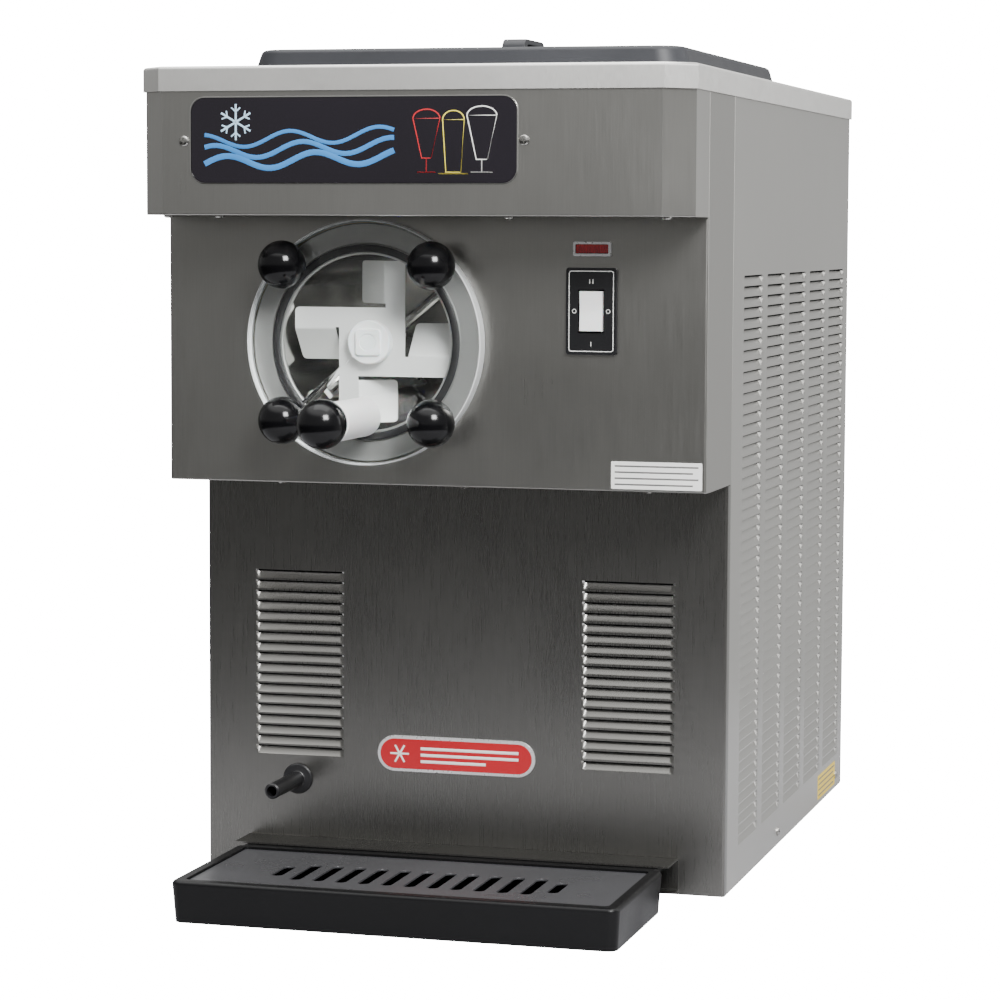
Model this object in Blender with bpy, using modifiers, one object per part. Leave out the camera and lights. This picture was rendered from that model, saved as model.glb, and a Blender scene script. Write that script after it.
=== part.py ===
"""Countertop frozen drink and ice cream freezer, built as an assembly of separate parts.

Metres, +Z up, +X to the right, and the front faces -Y. The cabinet stands on four rubber feet. A barrel
with a rotating beater lies behind a clear round door, under a mix hopper. A belt and a gearbox drive the
beater. A compressor, a condenser and a fan cool the barrel.
Run it with: blender --background --python part.py
"""

import math

import bmesh
import bpy
from mathutils import Matrix, Vector

# Cabinet
CABINET_WIDTH = 0.413
CABINET_DEPTH = 0.520  # from the lower front panel to the rear panel
CAP_TOP = 0.625
FOOT_HEIGHT = 0.008
UPPER_STEP = 0.079  # how far the upper front panel stands in front of the lower one
HEADER_STEP = 0.1435  # the same for the sign header
UPPER_BOTTOM = 0.319
HEADER_CLEARANCE = 0.0025  # from the door's edge up to the header
HEADER_CHAMFER = 0.020
CAP_SKIRT = 0.018
SEAM_SETBACK = 0.010  # from the lower front panel back to the side panels' front edges
SHEET = 0.0012
GAP = 0.0005  # between sheets and parts that touch on the real machine
FLANGE = 0.010

# Louvres
LOUVRE_PITCH = 0.0081
LOUVRE_OPENING = 0.0030
FRONT_BANK_WIDTH = 0.072
FRONT_BANK_OFFSET = 0.131  # from the middle of the panel to the middle of a bank
FRONT_BANK_BOTTOM = 0.099
FRONT_BANK_ROWS = 18
SIDE_COLUMNS = 5
SIDE_COLUMN_WIDTH = 0.074
SIDE_COLUMN_PITCH = 0.0928
SIDE_FIRST_COLUMN = 0.051  # from the lower front panel to the first column
SIDE_WINDOWS = 9  # in a column; each stands for a group of pressed louvres
SIDE_WINDOW_LOUVRES = 6
SIDE_BANK_BOTTOM = 0.0375

# Barrel, door and dispensing valve
BARREL_X = -0.0497
BARREL_Z = 0.4245
BARREL_RADIUS = 0.065  # inside
BARREL_WALL = 0.002
BARREL_LENGTH = 0.290
BARREL_FLANGE_RADIUS = 0.088
BARREL_FLANGE = 0.004
DOOR_RADIUS = 0.0905
DOOR_THICKNESS = 0.0127
STUD_SPACING = 0.1146
STUD_RADIUS = 0.004
SEAL_RADIUS = 0.0695
SEAL_THICKNESS = 0.0028
KNOB_RADIUS = 0.0177
KNOB_STANDOFF = 0.015  # from the door's front to the ball's centre
SPIGOT_DROP = 0.0545  # from the barrel's axis down to the spigot's
SPIGOT_RADIUS = 0.0145
SPIGOT_BORE = 0.0105
SPIGOT_LENGTH = 0.073
SPIGOT_OUTLET = 0.008
VALVE_KNOB_RADIUS = 0.018
VALVE_STEM_RADIUS = 0.005

# Beater and drive
SHAFT_RADIUS = 0.008
BLADE_REACH = 0.060
BLADE_ARM_WIDTH = 0.0148
BLADE_ARM_OFFSET = 0.0107
BLADE_TAB = 0.0315
BLADE_BEND = math.radians(40)  # how far the tabs are bent back
BLADE_TAB_LENGTH = 0.034
BLADE_SHEET = 0.0016
HUB_RADIUS = 0.0164
HUB_THICKNESS = 0.010
SCRAPER_WIDTH = 0.014
SCRAPER_THICKNESS = 0.004
SCRAPER_ANGLE = math.radians(40)
GEAR_MODULE = 0.002
OUTPUT_TEETH = 48
PINION_TEETH = 12
GEAR_WIDTH = 0.018
PRESSURE_ANGLE = math.radians(25)
GEAR_BACKLASH = 0.0003
GEARBOX_WALL = 0.005
DRIVEN_PULLEY_RADIUS = 0.055
MOTOR_PULLEY_RADIUS = 0.025
PULLEY_WIDTH = 0.018
BELT_WIDTH = 0.010
BELT_THICKNESS = 0.006
BELT_CENTRES = 0.150
MOTOR_RADIUS = 0.052
MOTOR_LENGTH = 0.125

# Hopper and lid
HOPPER_WIDTH = 0.324
HOPPER_LENGTH = 0.352
HOPPER_SETBACK = 0.004  # behind the lower front panel
HOPPER_DEPTH = 0.088
HOPPER_WALL = 0.0015
HOPPER_RIM = 0.005
INLET_RADIUS = 0.011
INLET_SETBACK = 0.030  # from the barrel's rear end forward to the mix inlet
LID_HEIGHT = 0.0195
LID_WALL = 0.0025
LID_MARGIN = 0.0025  # from the hopper's rim to the lid's inside
LID_DRAFT = 0.005
HANDLE_LENGTH = 0.064
HANDLE_WIDTH = 0.019
HANDLE_HEIGHT = 0.0145
HANDLE_THICKNESS = 0.005
HANDLE_SHIFT = -0.010  # from the lid's middle to the handle's, forwards

# Sign header, switch and lamp
LENS_X = -0.041
LENS_WIDTH = 0.245
LENS_HEIGHT = 0.061
LENS_RADIUS = 0.010
LENS_THICKNESS = 0.003
LENS_BOTTOM = 0.541
LAMP_RADIUS = 0.013
SWITCH_X = 0.121
SWITCH_Z = 0.4495
SWITCH_PLATE_WIDTH = 0.038
SWITCH_PLATE_HEIGHT = 0.063
ROCKER_WIDTH = 0.017
ROCKER_HEIGHT = 0.029
ROCKER_CLEARANCE = 0.0012
INDICATOR_Z = 0.4945
INDICATOR_WIDTH = 0.0285
INDICATOR_HEIGHT = 0.0105

# Drip tray and drain
TRAY_WIDTH = 0.337
TRAY_DEPTH = 0.145
TRAY_TOP = 0.034
TRAY_BOTTOM = 0.003
TRAY_WALL = 0.003
TRAY_RIM = 0.009
GRID_THICKNESS = 0.003
GRID_SLOTS = 13
GRID_PITCH = 0.0176
GRID_SLOT_WIDTH = 0.008
GRID_SLOT_LENGTH = 0.060
GRID_END_SLOT_LENGTH = 0.030
BRACKET_WIDTH = 0.343
BRACKET_DEPTH = 0.036
BRACKET_HEIGHT = 0.025
BRACKET_RISE = 0.002  # above the tray's rim
DRAIN_X = -0.1325
DRAIN_Z = 0.081
DRAIN_RADIUS = 0.006
DRAIN_BORE = 0.004
DRAIN_LENGTH = 0.060
DRAIN_FLANGE_RADIUS = 0.012

# Cooling
COMPRESSOR_RADIUS = 0.072
COMPRESSOR_HEIGHT = 0.165
CONDENSER_WIDTH = 0.300
CONDENSER_HEIGHT = 0.210
CONDENSER_DEPTH = 0.040
CONDENSER_FINS = 24
FAN_RADIUS = 0.092
FAN_BLADES = 5
COIL_TUBE_RADIUS = 0.0045
COIL_TURNS = 8
COIL_POINTS_A_TURN = 16
INSULATION_HALF = 0.095
GLAND_REACH = 0.014
POST = 0.018
FOOT_INSET = 0.050

# Places that follow from the sizes above
HEADER_BOTTOM = BARREL_Z + DOOR_RADIUS + HEADER_CLEARANCE
FRONT_REACH = UPPER_STEP + DOOR_THICKNESS + SPIGOT_LENGTH + 2 * GAP + 2 * VALVE_KNOB_RADIUS
REAR_REACH = CABINET_DEPTH + GLAND_REACH
PANEL_Y = (FRONT_REACH - REAR_REACH) / 2  # so that the origin is under the middle of the whole machine
UPPER_Y = PANEL_Y - UPPER_STEP
HEADER_Y = PANEL_Y - HEADER_STEP
REAR_Y = PANEL_Y + CABINET_DEPTH
SEAM_Y = PANEL_Y + SEAM_SETBACK
HALF_WIDTH = CABINET_WIDTH / 2
INNER_HALF = HALF_WIDTH - SHEET - GAP
PANEL_TOP = CAP_TOP - SHEET - GAP
PAN_TOP = FOOT_HEIGHT + SHEET
DOOR_FRONT_Y = UPPER_Y - GAP - DOOR_THICKNESS
BARREL_REAR_Y = UPPER_Y + BARREL_LENGTH
BARREL_OUTER = BARREL_RADIUS + BARREL_WALL
SPIGOT_Z = BARREL_Z - SPIGOT_DROP
SPIGOT_FRONT_Y = DOOR_FRONT_Y - SPIGOT_LENGTH
VALVE_KNOB_Y = SPIGOT_FRONT_Y - GAP - VALVE_KNOB_RADIUS
HOPPER_FRONT_Y = PANEL_Y + HOPPER_SETBACK
HOPPER_FLOOR = CAP_TOP - HOPPER_DEPTH
INLET_Y = BARREL_REAR_Y - INLET_SETBACK
GEAR_CENTRES = GEAR_MODULE * (OUTPUT_TEETH + PINION_TEETH) / 2
GEAR_REACH = GEAR_MODULE * (OUTPUT_TEETH / 2 + 1) + 0.002
GEARBOX_FRONT_Y = BARREL_REAR_Y + 0.012
GEARBOX_DEPTH = GEAR_WIDTH + 2 * GEARBOX_WALL + 0.012
GEARBOX_REAR_Y = GEARBOX_FRONT_Y + GEARBOX_DEPTH
GEAR_Y = (GEARBOX_FRONT_Y + GEARBOX_REAR_Y) / 2
PINION_Z = BARREL_Z - GEAR_CENTRES
PULLEY_Y = GEARBOX_REAR_Y + 0.006 + PULLEY_WIDTH / 2
MOTOR_Z = PINION_Z - BELT_CENTRES
MOTOR_REAR_Y = PULLEY_Y - PULLEY_WIDTH / 2 - 0.006
CONDENSER_Y = PANEL_Y + 0.045
SHROUD_Y = CONDENSER_Y + CONDENSER_DEPTH + 0.001
SHROUD_DEPTH = 0.018
FAN_Y = SHROUD_Y + SHROUD_DEPTH + 0.012
FAN_Z = PAN_TOP + 0.014 + CONDENSER_HEIGHT / 2
TRAY_REAR_Y = PANEL_Y - BRACKET_DEPTH - GAP
TRAY_FRONT_Y = TRAY_REAR_Y - TRAY_DEPTH

# Local Z of a turned or extruded piece turns to this world direction.
TO_RIGHT = Matrix(((0, 0, 1), (1, 0, 0), (0, 1, 0))).to_4x4()
TO_FRONT = Matrix(((1, 0, 0), (0, 0, -1), (0, 1, 0))).to_4x4()
UPWARD = Matrix.Identity(4)

MATERIALS = {
    "brushed_steel": ((0.46, 0.46, 0.45), 0.32, 1.0),
    "polished_steel": ((0.70, 0.70, 0.70), 0.15, 1.0),
    "galvanised": ((0.55, 0.56, 0.57), 0.45, 1.0),
    "black_plastic": ((0.016, 0.016, 0.016), 0.55, 0.0),
    "black_ball": ((0.010, 0.010, 0.010), 0.12, 0.0),
    "white_plastic": ((0.85, 0.85, 0.83), 0.40, 0.0),
    "clear_plastic": ((0.90, 0.93, 0.93), 0.05, 0.0),
    "sign_plastic": ((0.020, 0.018, 0.022), 0.10, 0.0),
    "red_plastic": ((0.30, 0.010, 0.012), 0.20, 0.0),
    "rubber": ((0.020, 0.020, 0.020), 0.75, 0.0),
    "foam": ((0.75, 0.68, 0.45), 0.90, 0.0),
    "copper": ((0.72, 0.38, 0.24), 0.30, 1.0),
    "motor_enamel": ((0.035, 0.036, 0.040), 0.45, 0.0),
    "cast_metal": ((0.32, 0.33, 0.34), 0.55, 1.0),
}


# ---- scene and materials


def clear_scene():
    for obj in list(bpy.data.objects):
        bpy.data.objects.remove(obj, do_unlink=True)


def new_collection(name):
    collection = bpy.data.collections.new(name)
    bpy.context.scene.collection.children.link(collection)
    return collection


def material(name):
    found = bpy.data.materials.get(name)
    if found:
        return found
    colour, roughness, metallic = MATERIALS[name]
    made = bpy.data.materials.new(name)
    made.use_nodes = True
    shader = made.node_tree.nodes["Principled BSDF"]
    shader.inputs["Base Color"].default_value = (*colour, 1.0)
    shader.inputs["Roughness"].default_value = roughness
    shader.inputs["Metallic"].default_value = metallic
    made.diffuse_color = (*colour, 1.0)
    return made


def add_object(name, mesh, finish, frame=UPWARD, at=(0, 0, 0)):
    """Links a mesh as a part, turned by frame and standing at a point."""
    obj = bpy.data.objects.new(name, mesh)
    obj.matrix_world = Matrix.Translation(at) @ frame
    mesh.materials.append(material(finish))
    parts.objects.link(obj)
    return obj


# ---- shapes


def block(name, low, high, finish, bevel=0.0):
    """A box between two corners."""
    low, high = Vector(low), Vector(high)
    mesh = bpy.data.meshes.new(name)
    bm = bmesh.new()
    bmesh.ops.create_cube(bm, size=1.0, matrix=Matrix.Diagonal((*(high - low), 1.0)))
    bm.to_mesh(mesh)
    bm.free()
    obj = add_object(name, mesh, finish, at=(low + high) / 2)
    if bevel:
        rounding = obj.modifiers.new("rounded edges", "BEVEL")
        rounding.width = bevel
        rounding.segments = 2
    return obj


def rod(name, radius, length, finish, frame=UPWARD, at=(0, 0, 0), segments=24):
    """A cylinder centred on a point, its axis along the frame's local Z."""
    mesh = bpy.data.meshes.new(name)
    bm = bmesh.new()
    bmesh.ops.create_cone(bm, cap_ends=True, segments=segments, radius1=radius, radius2=radius, depth=length)
    bm.to_mesh(mesh)
    bm.free()
    mesh.shade_smooth()
    mesh.set_sharp_from_angle(angle=math.radians(30))
    return add_object(name, mesh, finish, frame, at)


def turned(name, profile, finish, frame=UPWARD, at=(0, 0, 0), steps=32, ring=False):
    """A shape turned about local Z. The profile's points are (radius, height), down its outer side."""
    mesh = bpy.data.meshes.new(name)
    bm = bmesh.new()
    points = [bm.verts.new((radius, 0, height)) for radius, height in profile]
    pairs = list(zip(points, points[1:]))
    if ring:
        pairs.append((points[-1], points[0]))
    for pair in pairs:
        bm.edges.new(pair)
    bm.to_mesh(mesh)
    bm.free()
    obj = add_object(name, mesh, finish, frame, at)
    screw = obj.modifiers.new("turn", "SCREW")
    screw.steps = screw.render_steps = steps
    screw.use_merge_vertices = True
    screw.merge_threshold = 0.00001
    screw.use_smooth_shade = True
    return obj


def prism(name, outline, thickness, finish, frame=UPWARD, at=(0, 0, 0)):
    """A flat outline, extruded both ways from a point along the frame's local Z."""
    curve = bpy.data.curves.new(name, "CURVE")
    curve.dimensions = "2D"
    curve.fill_mode = "BOTH"
    curve.extrude = thickness / 2
    spline = curve.splines.new("POLY")
    spline.points.add(len(outline) - 1)
    for point, (x, y) in zip(spline.points, outline):
        point.co = (x, y, 0, 1)
    spline.use_cyclic_u = True
    guide = bpy.data.objects.new(name + "_outline", curve)
    parts.objects.link(guide)
    bpy.context.view_layer.update()
    mesh = bpy.data.meshes.new_from_object(guide.evaluated_get(bpy.context.evaluated_depsgraph_get()))
    mesh.name = name
    bpy.data.objects.remove(guide, do_unlink=True)
    bm = bmesh.new()
    bm.from_mesh(mesh)
    bmesh.ops.remove_doubles(bm, verts=bm.verts, dist=0.000001)
    bmesh.ops.recalc_face_normals(bm, faces=bm.faces)
    bm.to_mesh(mesh)
    bm.free()
    mesh.materials.clear()
    return add_object(name, mesh, finish, frame, at)


def tube(name, points, radius, finish):
    """A round tube along world points, with closed ends."""
    curve = bpy.data.curves.new(name, "CURVE")
    curve.dimensions = "3D"
    curve.bevel_depth = radius
    curve.bevel_resolution = 2
    curve.use_fill_caps = True
    spline = curve.splines.new("POLY")
    spline.points.add(len(points) - 1)
    for point, place in zip(spline.points, points):
        point.co = (*place, 1)
    obj = bpy.data.objects.new(name, curve)
    curve.materials.append(material(finish))
    parts.objects.link(obj)
    return obj


def as_tool(obj):
    """Moves a shape out of the machine, so that it only cuts or joins another."""
    parts.objects.unlink(obj)
    cutters.objects.link(obj)
    obj.hide_render = True
    obj.display_type = "WIRE"
    return obj


def cut(obj, tool):
    boolean = obj.modifiers.new("cut " + tool.name, "BOOLEAN")
    boolean.operation = "DIFFERENCE"
    boolean.object = as_tool(tool)
    return obj


def fuse(obj, tool):
    boolean = obj.modifiers.new("join " + tool.name, "BOOLEAN")
    boolean.operation = "UNION"
    boolean.object = as_tool(tool)
    return obj


def cut_all(obj, tools):
    """One Boolean for tools that don't touch each other, joined into one mesh."""
    group = bpy.data.collections.new(obj.name + "_cutters")
    cutters.children.link(group)
    for tool in tools:
        as_tool(tool)
        cutters.objects.unlink(tool)
        group.objects.link(tool)
    boolean = obj.modifiers.new("cut all", "BOOLEAN")
    boolean.operation = "DIFFERENCE"
    boolean.operand_type = "COLLECTION"
    boolean.collection = group
    return obj


# ---- outlines


def arc(centre, radius, start, end, steps):
    """Points along an arc, with angles in degrees."""
    angles = [math.radians(start + (end - start) * i / steps) for i in range(steps + 1)]
    return [(centre[0] + radius * math.cos(a), centre[1] + radius * math.sin(a)) for a in angles]


def rounded_rectangle(width, height, radius, steps=4):
    x, y = width / 2 - radius, height / 2 - radius
    corners = (((x, y), 0), ((-x, y), 90), ((-x, -y), 180), ((x, -y), 270))
    return [p for centre, start in corners for p in arc(centre, radius, start, start + 90, steps)]


def chamfered_plan(half_width, front_y, rear_y, chamfer):
    """The plan of a box whose two front corners are cut at 45 degrees."""
    return [
        (-half_width, rear_y),
        (-half_width, front_y + chamfer),
        (-half_width + chamfer, front_y),
        (half_width - chamfer, front_y),
        (half_width, front_y + chamfer),
        (half_width, rear_y),
    ]


def ball_profile(radius, flat, bore, depth):
    """Half a ball with a flat seat at the back and a blind bore in it, from the front pole down."""
    seat = math.sqrt(radius**2 - flat**2)
    end = math.degrees(math.asin(-flat / radius))
    outside = [(x, z) for x, z in arc((0, 0), radius, 90, end, 9)]
    outside[0] = (0, radius)
    outside[-1] = (seat, -flat)
    return outside + [(bore, -flat), (bore, depth - flat), (0, depth - flat)]


def gear_outline(teeth, module, backlash):
    """Involute teeth with short tips, so that a small pinion needs no undercut."""
    pitch = teeth * module / 2
    base = pitch * math.cos(PRESSURE_ANGLE)
    tip = pitch + 0.8 * module
    root = pitch - 1.05 * module

    def half_angle(radius):
        pressure = math.acos(min(1.0, base / radius))
        at_pitch = math.tan(PRESSURE_ANGLE) - PRESSURE_ANGLE
        thickness = math.pi / 2 / teeth - backlash / 2 / pitch
        return thickness + at_pitch - (math.tan(pressure) - pressure)

    flank = [max(base, root), pitch, tip]
    points = []
    for tooth in range(teeth):
        middle = 2 * math.pi * tooth / teeth
        side = [(root, half_angle(flank[0]))] + [(r, half_angle(r)) for r in flank if r > root]
        for radius, half in side:
            points.append((radius * math.cos(middle - half), radius * math.sin(middle - half)))
        for radius, half in reversed(side):
            points.append((radius * math.cos(middle + half), radius * math.sin(middle + half)))
    return points


def belt_outline(top_radius, bottom_radius, centres, steps=14):
    """The line of a belt round two pulleys, the top one at the origin."""
    lean = math.degrees(math.asin((top_radius - bottom_radius) / centres))
    over_top = arc((0, 0), top_radius, -lean, 180 + lean, steps)
    under_bottom = arc((0, -centres), bottom_radius, 180 + lean, 360 - lean, steps)
    return over_top + under_bottom


# ---- sheet metal cabinet


def folded_panel(name, low, high, open_sides, finish="brushed_steel"):
    """A box of sheet metal with some sides left open, such as {"+y", "+z"}."""
    low, high = Vector(low), Vector(high)
    inner_low, inner_high = low.copy(), high.copy()
    for k, axis in enumerate("xyz"):
        inner_low[k] += -SHEET if "-" + axis in open_sides else SHEET
        inner_high[k] += SHEET if "+" + axis in open_sides else -SHEET
    panel = block(name, low, high, finish)
    return cut(panel, block(name + "_inside", inner_low, inner_high, finish))


def feet_places():
    x = HALF_WIDTH - FOOT_INSET
    return [(sx * x, y) for y in (PANEL_Y + FOOT_INSET, REAR_Y - FOOT_INSET) for sx in (-1, 1)]


def base_pan():
    pan = folded_panel(
        "base_pan",
        (-INNER_HALF, SEAM_Y + SHEET + GAP, FOOT_HEIGHT),
        (INNER_HALF, REAR_Y - 2 * SHEET - 2 * GAP, FOOT_HEIGHT + 0.012),
        {"+z"},
        "galvanised",
    )
    holes = [
        rod(f"foot_hole_{n}", 0.0045, 0.01, "galvanised", at=(x, y, FOOT_HEIGHT), segments=12)
        for n, (x, y) in enumerate(feet_places())
    ]
    return cut_all(pan, holes)


def feet():
    """Rubber feet with a stem that snaps into the base pan."""
    top = FOOT_HEIGHT - GAP
    profile = [(0, PAN_TOP + 0.003), (0.004, PAN_TOP + 0.003), (0.004, top), (0.014, top), (0.013, 0), (0, 0)]
    for n, (x, y) in enumerate(feet_places()):
        turned(f"foot_{n + 1}", profile, "rubber", at=(x, y, 0), steps=16)


def chassis_frame():
    """Four welded posts with rails that carry the motor, the gearbox and the barrel."""
    outer = INNER_HALF - SHEET - 2 * GAP
    front, rear = SEAM_Y + 2 * SHEET + 3 * GAP, REAR_Y - 3 * SHEET - 4 * GAP
    bottom, top = PAN_TOP + GAP, PANEL_TOP - 0.004
    posts = [
        ((sx * (outer - POST / 2), y), (POST / 2, POST / 2))
        for sx in (-1, 1)
        for y in (front + POST / 2, rear - POST / 2)
    ]
    motor_rail_z = MOTOR_Z - MOTOR_RADIUS - 0.012
    gearbox_rail_z = PINION_Z - GEAR_MODULE * PINION_TEETH / 2 - GEARBOX_WALL - 0.022
    half_rail = 0.005
    frame = None
    for n, ((x, y), (hx, hy)) in enumerate(posts):
        post = block(f"post_{n}", (x - hx, y - hy, bottom), (x + hx, y + hy, top), "galvanised")
        if frame is None:
            frame = post
            frame.name = "chassis_frame"
        else:
            fuse(frame, post)
    rail_x = outer - POST / 2
    for sx in (-1, 1):
        for z in (motor_rail_z, gearbox_rail_z, top - 0.02):
            low = (sx * rail_x - half_rail, front + 0.004, z - half_rail)
            high = (sx * rail_x + half_rail, rear - 0.004, z + half_rail)
            fuse(frame, block("side_rail", low, high, "galvanised"))
    cross_rails = (
        (MOTOR_REAR_Y - 0.012, motor_rail_z),
        (MOTOR_REAR_Y - 0.080, motor_rail_z),
        (GEAR_Y, gearbox_rail_z),
        (rear - POST / 2, top - 0.02),
    )
    for y, z in cross_rails:
        low = (-rail_x - 0.001, y - 0.004, z - 0.004)
        high = (rail_x + 0.001, y + 0.004, z + 0.004)
        fuse(frame, block("cross_rail", low, high, "galvanised"))
    return frame


def side_windows(name, x):
    """Openings behind the pressed louvres of one side panel."""
    height = SIDE_WINDOW_LOUVRES * LOUVRE_PITCH
    for column in range(SIDE_COLUMNS):
        y = PANEL_Y + SIDE_FIRST_COLUMN + column * SIDE_COLUMN_PITCH
        for row in range(SIDE_WINDOWS):
            z = SIDE_BANK_BOTTOM + row * height
            low = (x - 0.005, y, z)
            high = (x + 0.005, y + SIDE_COLUMN_WIDTH, z + height - LOUVRE_OPENING)
            yield block(f"{name}_window", low, high, "brushed_steel")


def side_panel(name, side):
    """A sheet with its front and rear edges turned inwards, and its louvre windows."""
    outer = HALF_WIDTH * side
    inner = (HALF_WIDTH - FLANGE) * side
    panel = folded_panel(
        name,
        (min(outer, inner), SEAM_Y, FOOT_HEIGHT),
        (max(outer, inner), REAR_Y - SHEET - GAP, PANEL_TOP),
        {"-x" if side > 0 else "+x", "-z", "+z"},
    )
    return cut_all(panel, list(side_windows(name, outer)))


def louvre_slots(name, y, bottom, finish="brushed_steel"):
    """The cut openings of the two banks of a front or rear panel."""
    for side in (-1, 1):
        x = side * FRONT_BANK_OFFSET
        for row in range(FRONT_BANK_ROWS):
            z = bottom + (row + 1) * LOUVRE_PITCH - LOUVRE_OPENING
            low = (x - FRONT_BANK_WIDTH / 2, y - 0.005, z)
            high = (x + FRONT_BANK_WIDTH / 2, y + 0.005, z + LOUVRE_OPENING)
            yield block(f"{name}_slot", low, high, finish)


def rear_panel():
    panel = block(
        "rear_panel",
        (-HALF_WIDTH, REAR_Y - SHEET, FOOT_HEIGHT),
        (HALF_WIDTH, REAR_Y, PANEL_TOP),
        "brushed_steel",
    )
    slots = list(louvre_slots("rear_panel", REAR_Y, FRONT_BANK_BOTTOM))
    at = (gland_x(), REAR_Y, gland_z())
    gland_hole = rod("gland_hole", 0.0085, 0.02, "brushed_steel", TO_FRONT, at, 16)
    return cut_all(panel, slots + [gland_hole])


def gland_x():
    return 0.0


def gland_z():
    return FRONT_BANK_BOTTOM / 2 + 0.004


def cord_gland():
    """The nut and collar that a mains cord leaves by, with its passage open."""
    y = REAR_Y + GAP
    profile = [
        (0.0045, 0.012),
        (0.008, 0.012),
        (0.008, 0.0),
        (0.013, 0.0),
        (0.013, -0.005),
        (0.009, -0.006),
        (0.008, -GLAND_REACH + GAP),
        (0.0045, -GLAND_REACH + GAP),
    ]
    return turned("cord_gland", profile, "black_plastic", TO_FRONT, (gland_x(), y, gland_z()), 16, ring=True)


def lower_front_panel():
    panel = folded_panel(
        "lower_front_panel",
        (-HALF_WIDTH, PANEL_Y, FOOT_HEIGHT),
        (HALF_WIDTH, SEAM_Y - GAP, UPPER_BOTTOM - GAP),
        {"+y", "-z", "+z"},
    )
    slots = list(louvre_slots("lower_front_panel", PANEL_Y, FRONT_BANK_BOTTOM))
    at = (DRAIN_X, PANEL_Y, DRAIN_Z)
    hole = rod("drain_hole", DRAIN_RADIUS + GAP, 0.02, "brushed_steel", TO_FRONT, at, 16)
    return cut_all(panel, slots + [hole])


def upper_front_panel():
    panel = folded_panel(
        "upper_front_panel",
        (-HALF_WIDTH, UPPER_Y, UPPER_BOTTOM),
        (HALF_WIDTH, SEAM_Y - GAP, PANEL_TOP),
        {"+y", "+z"},
    )
    barrel_hole = rod(
        "barrel_hole",
        BARREL_FLANGE_RADIUS + GAP,
        0.02,
        "brushed_steel",
        TO_FRONT,
        (BARREL_X, UPPER_Y, BARREL_Z),
        48,
    )
    switch_hole = block(
        "switch_hole",
        (SWITCH_X - 0.0125, UPPER_Y - 0.005, SWITCH_Z - 0.0195),
        (SWITCH_X + 0.0125, UPPER_Y + 0.005, SWITCH_Z + 0.0195),
        "brushed_steel",
    )
    lamp_hole = block(
        "lamp_hole",
        (SWITCH_X - 0.0115, UPPER_Y - 0.005, INDICATOR_Z - 0.0040),
        (SWITCH_X + 0.0115, UPPER_Y + 0.005, INDICATOR_Z + 0.0040),
        "brushed_steel",
    )
    return cut_all(panel, [barrel_hole, switch_hole, lamp_hole])


def header_fascia():
    """The sign box: a chamfered front, closed below, with a window for the lens."""
    rear = UPPER_Y - GAP
    height = PANEL_TOP - HEADER_BOTTOM
    middle = (PANEL_TOP + HEADER_BOTTOM) / 2
    outer = chamfered_plan(HALF_WIDTH, HEADER_Y, rear, HEADER_CHAMFER)
    inner_chamfer = HEADER_CHAMFER - SHEET * (2 - math.sqrt(2))
    inner = chamfered_plan(HALF_WIDTH - SHEET, HEADER_Y + SHEET, rear + 0.01, inner_chamfer)
    fascia = prism("header_fascia", outer, height, "brushed_steel", at=(0, 0, middle))
    hollow = prism("header_inside", inner, height, "brushed_steel", at=(0, 0, middle + SHEET))
    cut(fascia, hollow)
    window = prism(
        "header_window",
        rounded_rectangle(LENS_WIDTH + 2 * GAP, LENS_HEIGHT + 2 * GAP, LENS_RADIUS + GAP),
        0.02,
        "brushed_steel",
        TO_FRONT,
        (LENS_X, HEADER_Y, lens_z()),
    )
    return cut(fascia, window)


def lens_z():
    return LENS_BOTTOM + LENS_HEIGHT / 2


def sign_lens():
    y = HEADER_Y + LENS_THICKNESS / 2 - 0.0004
    outline = rounded_rectangle(LENS_WIDTH, LENS_HEIGHT, LENS_RADIUS)
    return prism("sign_lens", outline, LENS_THICKNESS, "sign_plastic", TO_FRONT, (LENS_X, y, lens_z()))


def sign_lamp():
    """A short fluorescent tube with metal end caps, behind the lens."""
    half = LENS_WIDTH / 2 - 0.004
    profile = [
        (0, half),
        (LAMP_RADIUS, half),
        (LAMP_RADIUS, half - 0.012),
        (LAMP_RADIUS - 0.001, half - 0.012),
        (LAMP_RADIUS - 0.001, -half + 0.012),
        (LAMP_RADIUS, -half + 0.012),
        (LAMP_RADIUS, -half),
        (0, -half),
    ]
    y = (HEADER_Y + UPPER_Y) / 2 + 0.004
    return turned("sign_lamp", profile, "white_plastic", TO_RIGHT, (LENS_X, y, lens_z()), 16)


def top_cap():
    """The cover sheet, its skirt over every panel, and the opening for the hopper."""
    lap = GAP + SHEET
    outer = chamfered_plan(HALF_WIDTH + lap, HEADER_Y - lap, REAR_Y + lap, HEADER_CHAMFER)
    inner_chamfer = HEADER_CHAMFER - SHEET * (2 - math.sqrt(2))
    inner = chamfered_plan(HALF_WIDTH + GAP, HEADER_Y - GAP, REAR_Y + GAP, inner_chamfer)
    middle = CAP_TOP - CAP_SKIRT / 2
    cap = prism("top_cap", outer, CAP_SKIRT, "brushed_steel", at=(0, 0, middle))
    cut(cap, prism("cap_inside", inner, CAP_SKIRT, "brushed_steel", at=(0, 0, middle - SHEET)))
    opening = prism(
        "hopper_opening",
        rounded_rectangle(HOPPER_WIDTH + 2 * GAP, HOPPER_LENGTH + 2 * GAP, 0.02),
        0.02,
        "brushed_steel",
        at=(0, HOPPER_FRONT_Y + HOPPER_LENGTH / 2, CAP_TOP),
    )
    return cut(cap, opening)


# ---- hopper


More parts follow.
